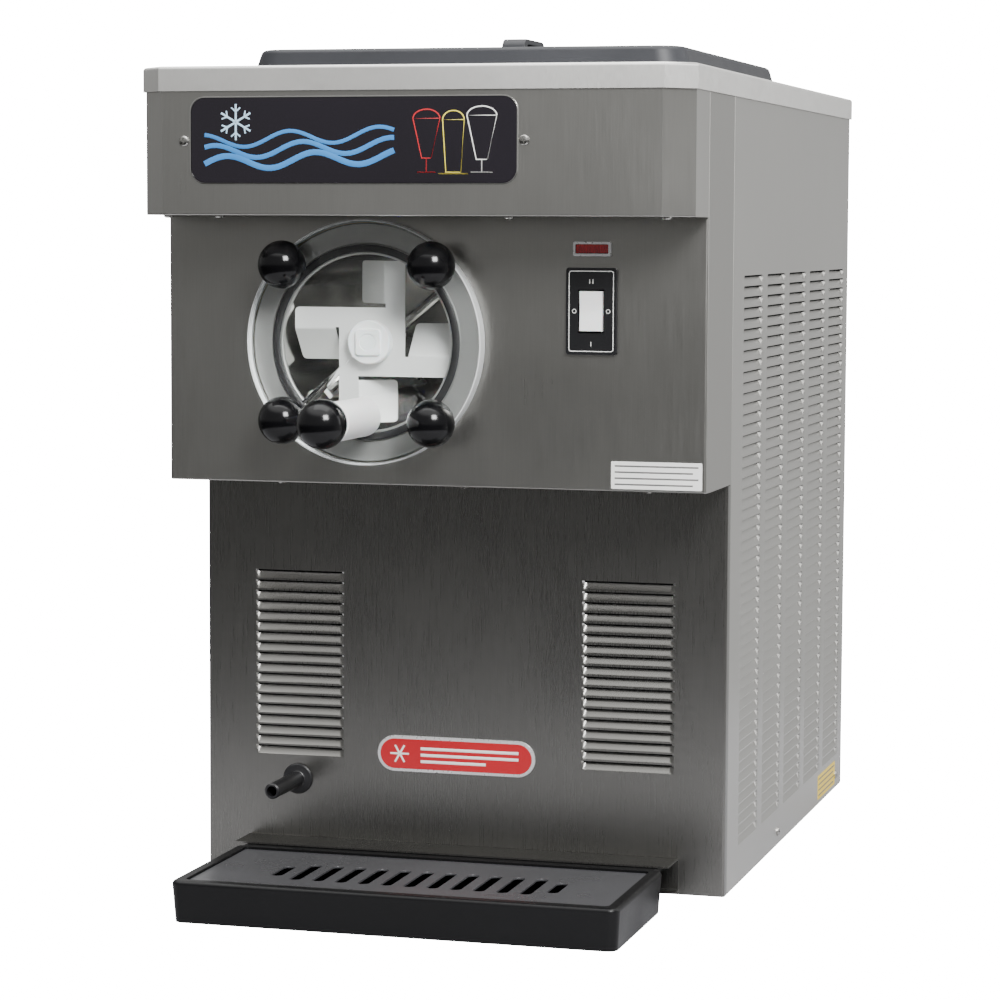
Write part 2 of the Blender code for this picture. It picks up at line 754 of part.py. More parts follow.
def hopper():
    """A drawn pan that hangs by its rim in the cap, with a pipe down to the barrel."""
    middle_y = HOPPER_FRONT_Y + HOPPER_LENGTH / 2
    rim_z = CAP_TOP + GAP + HOPPER_WALL
    outline = rounded_rectangle(HOPPER_WIDTH, HOPPER_LENGTH, 0.02)
    height = rim_z - HOPPER_FLOOR
    pan = prism("hopper", outline, height, "polished_steel", at=(0, middle_y, HOPPER_FLOOR + height / 2))
    rim = rounded_rectangle(HOPPER_WIDTH + 2 * HOPPER_RIM, HOPPER_LENGTH + 2 * HOPPER_RIM, 0.02 + HOPPER_RIM)
    rim_at = (0, middle_y, rim_z - HOPPER_WALL / 2)
    fuse(pan, prism("hopper_rim", rim, HOPPER_WALL, "polished_steel", at=rim_at))
    pipe_bottom = BARREL_Z + BARREL_OUTER + 0.002
    pipe_top = HOPPER_FLOOR + 0.001
    pipe = rod(
        "inlet_pipe",
        INLET_RADIUS + 0.002,
        pipe_top - pipe_bottom,
        "polished_steel",
        at=(BARREL_X, INLET_Y, (pipe_top + pipe_bottom) / 2),
    )
    fuse(pan, pipe)
    inner_width, inner_length = HOPPER_WIDTH - 2 * HOPPER_WALL, HOPPER_LENGTH - 2 * HOPPER_WALL
    inside = rounded_rectangle(inner_width, inner_length, 0.02 - HOPPER_WALL)
    inside_at = (0, middle_y, rim_z - height / 2 + HOPPER_WALL)
    cut(pan, prism("hopper_inside", inside, height, "polished_steel", at=inside_at))
    bore = rod("inlet_bore", INLET_RADIUS, 0.12, "polished_steel", at=(BARREL_X, INLET_Y, HOPPER_FLOOR))
    return cut(pan, bore)


def feed_tube():
    """The tube that meters mix and air into the barrel. It turns in the inlet pipe to open its port."""
    bottom = BARREL_Z + BARREL_OUTER + 0.004
    outer, bore, top = INLET_RADIUS - GAP, INLET_RADIUS - 0.004, CAP_TOP - 0.015
    profile = [(bore, top), (outer, top), (outer, bottom), (bore, bottom)]
    feed = turned("feed_tube", profile, "white_plastic", at=(BARREL_X, INLET_Y, 0), steps=20, ring=True)
    port = rod(
        "feed_port",
        0.003,
        0.02,
        "white_plastic",
        TO_RIGHT,
        (BARREL_X + 0.010, INLET_Y, HOPPER_FLOOR + HOPPER_WALL + 0.006),
        10,
    )
    return cut(feed, port)


def hopper_lid():
    """A moulded cover with drafted, rounded sides and a strap handle."""
    half_x = HOPPER_WIDTH / 2 + HOPPER_RIM + LID_MARGIN + LID_WALL
    half_y = HOPPER_LENGTH / 2 + HOPPER_RIM + LID_MARGIN + LID_WALL
    middle_y = HOPPER_FRONT_Y + HOPPER_LENGTH / 2
    bottom = CAP_TOP + GAP + LID_WALL * LID_DRAFT / LID_HEIGHT
    mesh = bpy.data.meshes.new("hopper_lid")
    bm = bmesh.new()
    bmesh.ops.create_cube(bm, size=2.0, matrix=Matrix.Diagonal((half_x, half_y, LID_HEIGHT / 2, 1.0)))
    top = [v for v in bm.verts if v.co.z > 0]
    for vert in top:
        vert.co.x -= math.copysign(LID_DRAFT, vert.co.x)
        vert.co.y -= math.copysign(LID_DRAFT, vert.co.y)
    bmesh.ops.delete(bm, geom=[f for f in bm.faces if f.normal.z < -0.9], context="FACES_ONLY")
    standing = [e for e in bm.edges if abs(e.verts[0].co.z - e.verts[1].co.z) > LID_HEIGHT / 2]
    bmesh.ops.bevel(bm, geom=standing, offset=0.016, segments=3, affect="EDGES", profile=0.5)
    rounded = [e for e in bm.edges if all(v.co.z > LID_HEIGHT / 2 - 0.0001 for v in e.verts)]
    bmesh.ops.bevel(bm, geom=rounded, offset=0.005, segments=2, affect="EDGES", profile=0.5)
    bm.to_mesh(mesh)
    bm.free()
    lid = add_object("hopper_lid", mesh, "black_plastic", at=(0, middle_y, bottom + LID_HEIGHT / 2))
    shell = lid.modifiers.new("wall", "SOLIDIFY")
    shell.thickness = LID_WALL
    shell.offset = -1
    shell.use_even_offset = True
    top_z = bottom + LID_HEIGHT
    half, leg = HANDLE_LENGTH / 2, HANDLE_THICKNESS
    strap = [
        (-half, -0.001),
        (-half, HANDLE_HEIGHT - 0.003),
        (-half + 0.003, HANDLE_HEIGHT),
        (half - 0.003, HANDLE_HEIGHT),
        (half, HANDLE_HEIGHT - 0.003),
        (half, -0.001),
        (half - leg, -0.001),
        (half - leg, HANDLE_HEIGHT - leg),
        (-half + leg, HANDLE_HEIGHT - leg),
        (-half + leg, -0.001),
    ]
    at = (0, middle_y + HANDLE_SHIFT, top_z)
    return fuse(lid, prism("lid_strap", strap, HANDLE_WIDTH, "black_plastic", TO_RIGHT, at))


# ---- freezing barrel


def stud_places():
    half = STUD_SPACING / 2
    return [(BARREL_X + sx * half, BARREL_Z + sz * half) for sz in (1, -1) for sx in (-1, 1)]


def stud_cutters(name, radius, y):
    return [
        rod(f"{name}_{n}", radius, 0.04, "polished_steel", TO_FRONT, (x, y, z), 16)
        for n, (x, z) in enumerate(stud_places())
    ]


def freezing_barrel():
    """The tube that the mix freezes in: a flange in front and a wall with a shaft hole behind."""
    front = BARREL_LENGTH
    shaft_hole = SHAFT_RADIUS + GAP
    profile = [
        (BARREL_RADIUS, front),
        (BARREL_FLANGE_RADIUS, front),
        (BARREL_FLANGE_RADIUS, front - BARREL_FLANGE),
        (BARREL_OUTER, front - BARREL_FLANGE),
        (BARREL_OUTER, 0),
        (shaft_hole, 0),
        (shaft_hole, 0.004),
        (BARREL_RADIUS, 0.004),
    ]
    at = (BARREL_X, BARREL_REAR_Y, BARREL_Z)
    barrel = turned("freezing_barrel", profile, "polished_steel", TO_FRONT, at, 48, ring=True)
    inlet_at = (BARREL_X, INLET_Y, BARREL_Z + BARREL_OUTER)
    inlet = rod("barrel_inlet", INLET_RADIUS, 0.02, "polished_steel", at=inlet_at)
    return cut_all(barrel, stud_cutters("flange_hole", STUD_RADIUS + GAP, UPPER_Y) + [inlet])


def evaporator_coil():
    """Copper tube wound on the barrel, between the flange and the mix inlet."""
    radius = coil_radius()
    start = UPPER_Y + BARREL_FLANGE + 0.018
    end = INLET_Y - INLET_RADIUS - 0.014
    count = COIL_TURNS * COIL_POINTS_A_TURN
    points = []
    for i in range(count + 1):
        angle = 2 * math.pi * i / COIL_POINTS_A_TURN
        y = start + (end - start) * i / count
        points.append((BARREL_X + radius * math.cos(angle), y, BARREL_Z + radius * math.sin(angle)))
    return tube("evaporator_coil", points, COIL_TUBE_RADIUS, "copper")


def coil_radius():
    """To the bends of the coil's tube, whose straight lengths pass nearer the barrel."""
    return (BARREL_OUTER + GAP + COIL_TUBE_RADIUS) / math.cos(math.pi / COIL_POINTS_A_TURN)


def barrel_insulation():
    """A foam block round the coil."""
    front = UPPER_Y + BARREL_FLANGE + 0.006
    rear = BARREL_REAR_Y - GAP
    low = (BARREL_X - INSULATION_HALF, front, BARREL_Z - INSULATION_HALF)
    high = (BARREL_X + INSULATION_HALF, rear, BARREL_Z + INSULATION_HALF)
    foam = block("barrel_insulation", low, high, "foam")
    coil_room = coil_radius() + COIL_TUBE_RADIUS + 3 * GAP
    middle = (BARREL_X, (front + rear) / 2, BARREL_Z)
    cut(foam, rod("insulation_bore", coil_room, rear - front + 0.02, "foam", TO_FRONT, middle, 32))
    top = (BARREL_X, INLET_Y, BARREL_Z + INSULATION_HALF)
    return cut(foam, rod("insulation_inlet", INLET_RADIUS + 0.003, 0.06, "foam", at=top, segments=20))


def door_studs():
    """Headed studs that stand through the barrel's flange and carry the door."""
    head_back = UPPER_Y + BARREL_FLANGE + 0.0045
    length = head_back - (DOOR_FRONT_Y - KNOB_STANDOFF - 0.004)
    profile = [
        (0, length),
        (STUD_RADIUS - 0.001, length),
        (STUD_RADIUS, length - 0.001),
        (STUD_RADIUS, 0.004),
        (0.006, 0.004),
        (0.006, 0),
        (0, 0),
    ]
    for n, (x, z) in enumerate(stud_places()):
        turned(f"door_stud_{n + 1}", profile, "polished_steel", TO_FRONT, (x, head_back, z), 16)


# ---- door and dispensing valve


def door_plate():
    """A thick clear disc with four stud holes and the passage to the spigot."""
    middle_y = (UPPER_Y - GAP + DOOR_FRONT_Y) / 2
    door = rod(
        "door_plate",
        DOOR_RADIUS,
        DOOR_THICKNESS,
        "clear_plastic",
        TO_FRONT,
        (BARREL_X, middle_y, BARREL_Z),
        48,
    )
    passage = rod(
        "door_passage", SPIGOT_BORE, 0.04, "clear_plastic", TO_FRONT, (BARREL_X, middle_y, SPIGOT_Z), 20
    )
    groove_profile = [
        (SEAL_RADIUS - SEAL_THICKNESS, 0.01),
        (SEAL_RADIUS + SEAL_THICKNESS, 0.01),
        (SEAL_RADIUS + SEAL_THICKNESS, -0.001),
        (SEAL_RADIUS - SEAL_THICKNESS, -0.001),
    ]
    groove_y = UPPER_Y - GAP - seal_depth()
    groove = turned(
        "seal_groove", [(r, -z) for r, z in reversed(groove_profile)], "clear_plastic", TO_FRONT,
        (BARREL_X, groove_y, BARREL_Z), 48, ring=True
    )
    return cut_all(door, stud_cutters("door_hole", STUD_RADIUS + GAP, middle_y) + [passage, groove])


def seal_depth():
    return SEAL_THICKNESS - 0.0006


def door_seal():
    """The rubber ring in the door's groove that closes on the barrel's flange."""
    half = SEAL_THICKNESS - 2 * GAP
    back = 0.0
    front = seal_depth() - GAP + back
    profile = [
        (SEAL_RADIUS - half, front),
        (SEAL_RADIUS + half, front),
        (SEAL_RADIUS + half, back),
        (SEAL_RADIUS - half, back),
    ]
    at = (BARREL_X, UPPER_Y - GAP, BARREL_Z)
    return turned("door_seal", profile, "rubber", TO_FRONT, at, 48, ring=True)


def spigot_body():
    """The white nozzle on the door, with its outlet underneath near the door."""
    profile = [
        (SPIGOT_BORE, SPIGOT_LENGTH),
        (SPIGOT_RADIUS - 0.0015, SPIGOT_LENGTH),
        (SPIGOT_RADIUS, SPIGOT_LENGTH - 0.0015),
        (SPIGOT_RADIUS, 0),
        (SPIGOT_BORE, 0),
    ]
    at = (BARREL_X, DOOR_FRONT_Y - GAP, SPIGOT_Z)
    body = turned("spigot_body", profile, "white_plastic", TO_FRONT, at, 28, ring=True)
    outlet_at = (BARREL_X, outlet_y(), SPIGOT_Z - SPIGOT_RADIUS)
    return cut(body, rod("spigot_outlet", SPIGOT_OUTLET, 0.016, "white_plastic", at=outlet_at, segments=20))


def outlet_y():
    return DOOR_FRONT_Y - SPIGOT_OUTLET - 0.010


def valve_plunger():
    """A piston that covers the outlet, on a stem that ends inside the knob."""
    radius = SPIGOT_BORE - GAP
    piston_back = DOOR_FRONT_Y - 0.002
    piston = 2 * SPIGOT_OUTLET + 0.016
    length = piston_back - VALVE_KNOB_Y
    profile = [
        (0, length),
        (VALVE_STEM_RADIUS, length),
        (VALVE_STEM_RADIUS, piston),
        (radius, piston),
        (radius, 0),
        (0, 0),
    ]
    return turned("valve_plunger", profile, "white_plastic", TO_FRONT, (BARREL_X, piston_back, SPIGOT_Z), 20)


def valve_knob():
    flat = VALVE_KNOB_RADIUS - 0.0015
    profile = ball_profile(VALVE_KNOB_RADIUS, flat, VALVE_STEM_RADIUS + GAP, flat + 0.003)
    return turned("valve_knob", profile, "black_ball", TO_FRONT, (BARREL_X, VALVE_KNOB_Y, SPIGOT_Z), 24)


def door_knobs():
    """Ball nuts that clamp the door on its studs."""
    flat = KNOB_STANDOFF - GAP
    profile = ball_profile(KNOB_RADIUS, flat, STUD_RADIUS + GAP, flat + 0.007)
    y = DOOR_FRONT_Y - KNOB_STANDOFF
    for n, (x, z) in enumerate(stud_places()):
        turned(f"door_knob_{n + 1}", profile, "black_ball", TO_FRONT, (x, y, z), 20)


# ---- beater


def beater_front_y():
    return UPPER_Y + 0.003


def blades_y():
    return beater_front_y() + HUB_THICKNESS + GAP + BLADE_SHEET / 2


def beater_shaft():
    """The drive shaft with two crossbars that hold the scrapers."""
    front = blades_y() + BLADE_SHEET / 2 + GAP
    rear = GEARBOX_REAR_Y - GEARBOX_WALL - 0.002
    length = rear - front
    profile = [(0, length), (SHAFT_RADIUS, length), (SHAFT_RADIUS, 0), (0, 0)]
    shaft = turned("beater_shaft", profile, "polished_steel", TO_FRONT, (BARREL_X, rear, BARREL_Z), 20)
    reach = BARREL_RADIUS - SCRAPER_THICKNESS - 0.004
    for n, y in enumerate((front + 0.030, BARREL_REAR_Y - 0.030)):
        bar = rod(f"crossbar_{n}", 0.004, 2 * reach, "polished_steel", TO_RIGHT, (0, 0, 0), 12)
        turn = Matrix.Rotation(-SCRAPER_ANGLE, 4, "Y")
        bar.matrix_world = Matrix.Translation((BARREL_X, y, BARREL_Z)) @ turn @ TO_RIGHT
        fuse(shaft, bar)
    return shaft


def beater_scrapers():
    """Two plastic blades that wipe frozen mix off the barrel's wall."""
    front = blades_y() + BLADE_TAB * 0.75 + 0.004
    rear = BARREL_REAR_Y - 0.012
    inner = BARREL_RADIUS - SCRAPER_THICKNESS - 0.004 + GAP
    for n, turn in enumerate((SCRAPER_ANGLE, SCRAPER_ANGLE + math.pi)):
        low = (inner, -(rear - front) / 2, -SCRAPER_WIDTH / 2)
        high = (inner + SCRAPER_THICKNESS, (rear - front) / 2, SCRAPER_WIDTH / 2)
        scraper = block(f"scraper_{n + 1}", low, high, "white_plastic")
        centre = scraper.matrix_world.translation.copy()
        place = Matrix.Translation((BARREL_X, (front + rear) / 2, BARREL_Z)) @ Matrix.Rotation(-turn, 4, "Y")
        scraper.matrix_world = place @ Matrix.Translation(centre)


def blade_piece(name, low, high, tilt, quarter):
    """One flat or bent piece of the blade plate, turned a number of quarters about the shaft."""
    piece = block(name, low, high, "polished_steel")
    centre = piece.matrix_world.translation.copy()
    hinge = Matrix.Translation((BLADE_ARM_OFFSET, 0, 0))
    bend = hinge @ Matrix.Rotation(tilt, 4, "Z") @ hinge.inverted()
    turn = Matrix.Rotation(quarter * math.pi / 2, 4, "Y")
    place = Matrix.Translation((BARREL_X, blades_y(), BARREL_Z))
    piece.matrix_world = place @ turn @ bend @ Matrix.Translation(centre)
    return piece


def beater_blades():
    """A steel plate with four arms, each with a paddle bent back from its side."""
    half = BLADE_SHEET / 2
    outer = BLADE_ARM_OFFSET + BLADE_ARM_WIDTH
    plate = block("beater_blades", (-outer, -half, -outer), (outer, half, outer), "polished_steel")
    plate.matrix_world = Matrix.Translation((BARREL_X, blades_y(), BARREL_Z)) @ plate.matrix_world
    tab_start = BLADE_REACH - BLADE_TAB_LENGTH
    for quarter in range(4):
        arm = blade_piece(
            "blade_arm",
            (BLADE_ARM_OFFSET - 0.001, -half, outer - 0.002),
            (outer, half, BLADE_REACH - 0.001),
            0,
            quarter,
        )
        fuse(plate, arm)
        tab = blade_piece(
            "blade_tab",
            (BLADE_ARM_OFFSET - BLADE_TAB, -half, tab_start),
            (BLADE_ARM_OFFSET + 0.0004, half, BLADE_REACH - 0.002),
            -BLADE_BEND,
            quarter,
        )
        fuse(plate, tab)
    return plate


def beater_hub():
    """The white front bearing, with a square boss."""
    at = (BARREL_X, beater_front_y() + HUB_THICKNESS, BARREL_Z)
    profile = [
        (0, HUB_THICKNESS - 0.002),
        (HUB_RADIUS - 0.001, HUB_THICKNESS - 0.002),
        (HUB_RADIUS, HUB_THICKNESS - 0.003),
        (HUB_RADIUS, 0),
        (0, 0),
    ]
    hub = turned("beater_hub", profile, "white_plastic", TO_FRONT, at, 28)
    boss = rounded_rectangle(0.020, 0.020, 0.003, 2)
    boss_at = (BARREL_X, beater_front_y() + 0.002, BARREL_Z)
    return fuse(hub, prism("hub_boss", boss, 0.004, "white_plastic", TO_FRONT, boss_at))


# ---- drive


def gearbox_case():
    """A cast case round the gear pair, open only where the two shafts pass."""
    bottom = PINION_Z - GEAR_MODULE * PINION_TEETH / 2 - 0.008 - GEARBOX_WALL
    half_x = GEAR_REACH + GEARBOX_WALL
    low = (BARREL_X - half_x, GEARBOX_FRONT_Y, bottom)
    high = (BARREL_X + half_x, GEARBOX_REAR_Y, BARREL_Z + GEAR_REACH + GEARBOX_WALL)
    case = block("gearbox_case", low, high, "cast_metal")
    wall = Vector((GEARBOX_WALL,) * 3)
    cut(case, block("gearbox_inside", Vector(low) + wall, Vector(high) - wall, "cast_metal"))
    front_hole = (BARREL_X, GEARBOX_FRONT_Y, BARREL_Z)
    cut(case, rod("output_hole", SHAFT_RADIUS + GAP, 0.016, "cast_metal", TO_FRONT, front_hole, 20))
    rear_hole = (BARREL_X, GEARBOX_REAR_Y, PINION_Z)
    return cut(case, rod("input_hole", SHAFT_RADIUS + GAP, 0.016, "cast_metal", TO_FRONT, rear_hole, 20))


def output_gear():
    outline = gear_outline(OUTPUT_TEETH, GEAR_MODULE, GEAR_BACKLASH)
    at = (BARREL_X, GEAR_Y, BARREL_Z)
    gear = prism("output_gear", outline, GEAR_WIDTH, "cast_metal", TO_FRONT, at)
    return cut(gear, rod("output_gear_bore", SHAFT_RADIUS + GAP, 0.04, "cast_metal", TO_FRONT, at, 20))


def input_pinion():
    """The small gear, turned half a tooth so that it meshes, on a shaft that leaves at the back."""
    outline = gear_outline(PINION_TEETH, GEAR_MODULE, GEAR_BACKLASH)
    mesh_turn = math.pi / 2 + math.pi / PINION_TEETH
    turn = Matrix.Rotation(mesh_turn, 4, "Z")
    at = (BARREL_X, GEAR_Y, PINION_Z)
    pinion = prism("input_pinion", outline, GEAR_WIDTH, "cast_metal", TO_FRONT @ turn, at)
    front = GEARBOX_FRONT_Y + GEARBOX_WALL + 0.002
    rear = PULLEY_Y + PULLEY_WIDTH / 2 + 0.003
    at = (BARREL_X, (front + rear) / 2, PINION_Z)
    return fuse(pinion, rod("input_shaft", SHAFT_RADIUS, rear - front, "cast_metal", TO_FRONT, at, 20))


def pulley_profile(radius, bore):
    """A grooved wheel, as half a section about its middle."""
    half, groove = PULLEY_WIDTH / 2, BELT_WIDTH / 2 + GAP
    floor = radius - BELT_THICKNESS - GAP
    return [
        (bore, half),
        (radius, half),
        (radius, groove + 0.001),
        (floor, groove),
        (floor, -groove),
        (radius, -groove - 0.001),
        (radius, -half),
        (bore, -half),
    ]


def driven_pulley():
    profile = pulley_profile(DRIVEN_PULLEY_RADIUS, SHAFT_RADIUS + GAP)
    at = (BARREL_X, PULLEY_Y, PINION_Z)
    return turned("driven_pulley", profile, "cast_metal", TO_FRONT, at, 36, ring=True)


def motor_pulley():
    """The small pulley and the motor's shaft, which turn as one."""
    profile = pulley_profile(MOTOR_PULLEY_RADIUS, 0)
    shaft_front = PULLEY_Y - (MOTOR_REAR_Y - 0.020)
    nose = [(0, shaft_front), (0.007, shaft_front), (0.007, PULLEY_WIDTH / 2)]
    at = (BARREL_X, PULLEY_Y, MOTOR_Z)
    return turned("motor_pulley", nose + profile[1:], "cast_metal", TO_FRONT, at, 24)


def drive_belt():
    top = DRIVEN_PULLEY_RADIUS - BELT_THICKNESS
    bottom = MOTOR_PULLEY_RADIUS - BELT_THICKNESS
    at = (BARREL_X, PULLEY_Y, PINION_Z)
    outer = belt_outline(top + BELT_THICKNESS, bottom + BELT_THICKNESS, BELT_CENTRES)
    inner = belt_outline(top, bottom, BELT_CENTRES)
    belt = prism("drive_belt", outer, BELT_WIDTH, "rubber", TO_FRONT, at)
    return cut(belt, prism("belt_inside", inner, 2 * BELT_WIDTH, "rubber", TO_FRONT, at))


def drive_motor():
    """The motor's body, with a shaft hole behind and a foot on the frame's rails."""
    half = MOTOR_LENGTH / 2
    bore = 0.0078
    profile = [
        (0, half),
        (MOTOR_RADIUS - 0.012, half),
        (MOTOR_RADIUS, half - 0.010),
        (MOTOR_RADIUS, -half + 0.010),
        (MOTOR_RADIUS - 0.012, -half),
        (bore, -half),
        (bore, -half + 0.024),
        (0, -half + 0.024),
    ]
    middle_y = MOTOR_REAR_Y - half
    motor = turned("drive_motor", profile, "motor_enamel", TO_FRONT, (BARREL_X, middle_y, MOTOR_Z), 32)
    low = (BARREL_X - 0.040, MOTOR_REAR_Y - 0.090, MOTOR_Z - MOTOR_RADIUS - 0.0055)
    high = (BARREL_X + 0.040, MOTOR_REAR_Y - 0.006, MOTOR_Z - MOTOR_RADIUS + 0.010)
    return fuse(motor, block("motor_foot", low, high, "motor_enamel"))


# ---- cooling


def compressor():
    """A welded can on a foot plate, with its pipe stub on top."""
    floor = PAN_TOP + GAP
    top = floor + 0.006 + COMPRESSOR_HEIGHT
    x = HALF_WIDTH - 0.026 - COMPRESSOR_RADIUS
    y = REAR_Y - 0.060 - COMPRESSOR_RADIUS
    profile = [
        (0, top),
        (COMPRESSOR_RADIUS * 0.55, top - 0.006),
        (COMPRESSOR_RADIUS * 0.9, top - 0.025),
        (COMPRESSOR_RADIUS, top - 0.050),
        (COMPRESSOR_RADIUS, floor + 0.030),
        (COMPRESSOR_RADIUS * 0.8, floor + 0.004),
        (0, floor + 0.004),
    ]
    can = turned("compressor", profile, "motor_enamel", at=(x, y, 0), steps=28)
    half = COMPRESSOR_RADIUS + 0.004
    low, high = (x - half, y - half, floor), (x + half, y + half, floor + 0.006)
    fuse(can, block("compressor_foot", low, high, "motor_enamel"))
    stub_at = (x + 0.02, y, top - 0.004)
    return fuse(can, rod("compressor_stub", 0.005, 0.03, "motor_enamel", at=stub_at, segments=12))


def condenser():
    """A finned block: a header plate with upright fins towards the front louvres."""
    fin = CONDENSER_WIDTH / (2 * CONDENSER_FINS - 1)
    half = CONDENSER_WIDTH / 2
    outline = [(half, CONDENSER_Y + CONDENSER_DEPTH), (-half, CONDENSER_Y + CONDENSER_DEPTH)]
    for n in range(CONDENSER_FINS):
        x = -half + 2 * n * fin
        valley = CONDENSER_Y + CONDENSER_DEPTH * 0.75
        if n:
            outline.append((x, valley))
        outline += [(x, CONDENSER_Y), (x + fin, CONDENSER_Y)]
        if n < CONDENSER_FINS - 1:
            outline.append((x + fin, valley))
    bottom = PAN_TOP + 0.014
    middle = (0, 0, bottom + CONDENSER_HEIGHT / 2)
    return prism("condenser", outline, CONDENSER_HEIGHT, "galvanised", at=middle)


def fan_shroud():
    bottom = PAN_TOP + GAP
    half = FAN_RADIUS + 0.018
    top = FAN_Z + FAN_RADIUS + 0.014
    low, high = (-half, SHROUD_Y, bottom), (half, SHROUD_Y + SHROUD_DEPTH, top)
    shroud = folded_panel("fan_shroud", low, high, {"-y"}, "galvanised")
    at = (0, SHROUD_Y + SHROUD_DEPTH, FAN_Z)
    return cut(shroud, rod("fan_opening", FAN_RADIUS + 0.004, 0.02, "galvanised", TO_FRONT, at, 32))


def fan_blades():
    hub = rod("fan_blades", 0.020, 0.018, "black_plastic", TO_FRONT, (0, FAN_Y, FAN_Z), 20)
    for n in range(FAN_BLADES):
        blade = block("fan_blade", (0.010, -0.024, -0.0010), (FAN_RADIUS, 0.024, 0.0010), "black_plastic")
        centre = blade.matrix_world.translation.copy()
        around = Matrix.Rotation(2 * math.pi * n / FAN_BLADES, 4, "Y")
        pitch = Matrix.Rotation(math.radians(68), 4, "X")
        place = Matrix.Translation((0, FAN_Y, FAN_Z))
        blade.matrix_world = place @ around @ pitch @ Matrix.Translation(centre)
        fuse(hub, blade)
    return hub


def fan_motor():
    """The fan's motor on a bar across the shroud."""
    front = FAN_Y + 0.014
    at = (0, front + 0.020, FAN_Z)
    motor = rod("fan_motor", 0.024, 0.040, "motor_enamel", TO_FRONT, at, 24)
    half = FAN_RADIUS + 0.010
    low, high = (-half, front + 0.022, FAN_Z - 0.006), (half, front + 0.025, FAN_Z + 0.006)
    return fuse(motor, block("fan_motor_bar", low, high, "motor_enamel"))


def control_box():
    """The wiring box behind the switch, open towards it."""
    half_x, half_z = 0.040, 0.060
    front = UPPER_Y + 0.036
    low = (SWITCH_X - half_x, front, SWITCH_Z - half_z)
    high = (SWITCH_X + half_x, front + 0.060, SWITCH_Z + half_z)
    return folded_panel("control_box", low, high, {"-y"}, "galvanised")


# ---- switch and indicator


def switch_plate():
    """The black plate with the switch's housing behind it."""
    thickness = 0.0016
    y = UPPER_Y - GAP - thickness / 2
    outline = rounded_rectangle(SWITCH_PLATE_WIDTH, SWITCH_PLATE_HEIGHT, 0.003, 2)
    plate = prism("switch_plate", outline, thickness, "black_plastic", TO_FRONT, (SWITCH_X, y, SWITCH_Z))
    half_x, half_z = ROCKER_WIDTH / 2 + ROCKER_CLEARANCE, ROCKER_HEIGHT / 2 + ROCKER_CLEARANCE + 0.0006
    rim = 0.0022
    low = (SWITCH_X - half_x - rim, UPPER_Y - GAP - thickness - 0.0012, SWITCH_Z - half_z - rim)
    high = (SWITCH_X + half_x + rim, UPPER_Y + 0.024, SWITCH_Z + half_z + rim)
    fuse(plate, block("switch_housing", low, high, "black_plastic"))
    well_low = (SWITCH_X - half_x, low[1] - 0.01, SWITCH_Z - half_z)
    well_high = (SWITCH_X + half_x, UPPER_Y + 0.021, SWITCH_Z + half_z)
    return cut(plate, block("switch_well", well_low, well_high, "black_plastic"))


def rocker():
    """The white rocker, dished in the middle, on a level pivot."""
    half = ROCKER_HEIGHT / 2
    outline = [
        (-0.0075, half),
        (-0.0058, half * 0.45),
        (-0.0052, 0),
        (-0.0058, -half * 0.45),
        (-0.0075, -half),
        (0.0, -half),
        (0.011, -0.006),
        (0.011, 0.006),
        (0.0, half),
    ]
    at = (SWITCH_X, rocker_y(), SWITCH_Z)
    return prism("rocker", outline, ROCKER_WIDTH, "white_plastic", TO_RIGHT, at)


def rocker_y():
    return UPPER_Y + 0.0015


def indicator_lamp():
    """A red lens in a bright bezel, with its body through the panel."""
    y = UPPER_Y - GAP - 0.001
    outline = rounded_rectangle(INDICATOR_WIDTH, INDICATOR_HEIGHT, 0.001, 1)
    lamp = prism("indicator_lamp", outline, 0.002, "red_plastic", TO_FRONT, (SWITCH_X, y, INDICATOR_Z))
    low = (SWITCH_X - 0.011, y, INDICATOR_Z - 0.0035)
    high = (SWITCH_X + 0.011, UPPER_Y + 0.020, INDICATOR_Z + 0.0035)
    return fuse(lamp, block("indicator_body", low, high, "red_plastic"))


# ---- drip tray and drain


def drain_spout():
    profile = [
        (DRAIN_BORE, DRAIN_LENGTH),
        (DRAIN_RADIUS, DRAIN_LENGTH),
        (DRAIN_RADIUS, 0.003),
        (DRAIN_FLANGE_RADIUS, 0.003),
        (DRAIN_FLANGE_RADIUS, 0),
        (DRAIN_RADIUS, 0),
        (DRAIN_RADIUS, -0.015),
        (DRAIN_BORE, -0.015),
    ]
    at = (DRAIN_X, PANEL_Y - GAP, DRAIN_Z)
    return turned("drain_spout", profile, "black_plastic", TO_FRONT, at, 20, ring=True)


def tray_bracket():
    """A channel on the lower panel, open to the front, that the tray's tongue slides into."""
    back, front = PANEL_Y - GAP, PANEL_Y - BRACKET_DEPTH
    top, bottom = bracket_top(), bracket_top() - BRACKET_HEIGHT
    lip = back - 0.012
    outline = [
        (front, top),
        (front, top - SHEET),
        (back - SHEET, top - SHEET),
        (back - SHEET, bottom + SHEET),
        (lip, bottom + SHEET),
        (lip, bottom),
        (back, bottom),
        (back, top),
    ]
    return prism("tray_bracket", outline, BRACKET_WIDTH, "brushed_steel", TO_RIGHT)


def bracket_top():
    return TRAY_TOP + BRACKET_RISE


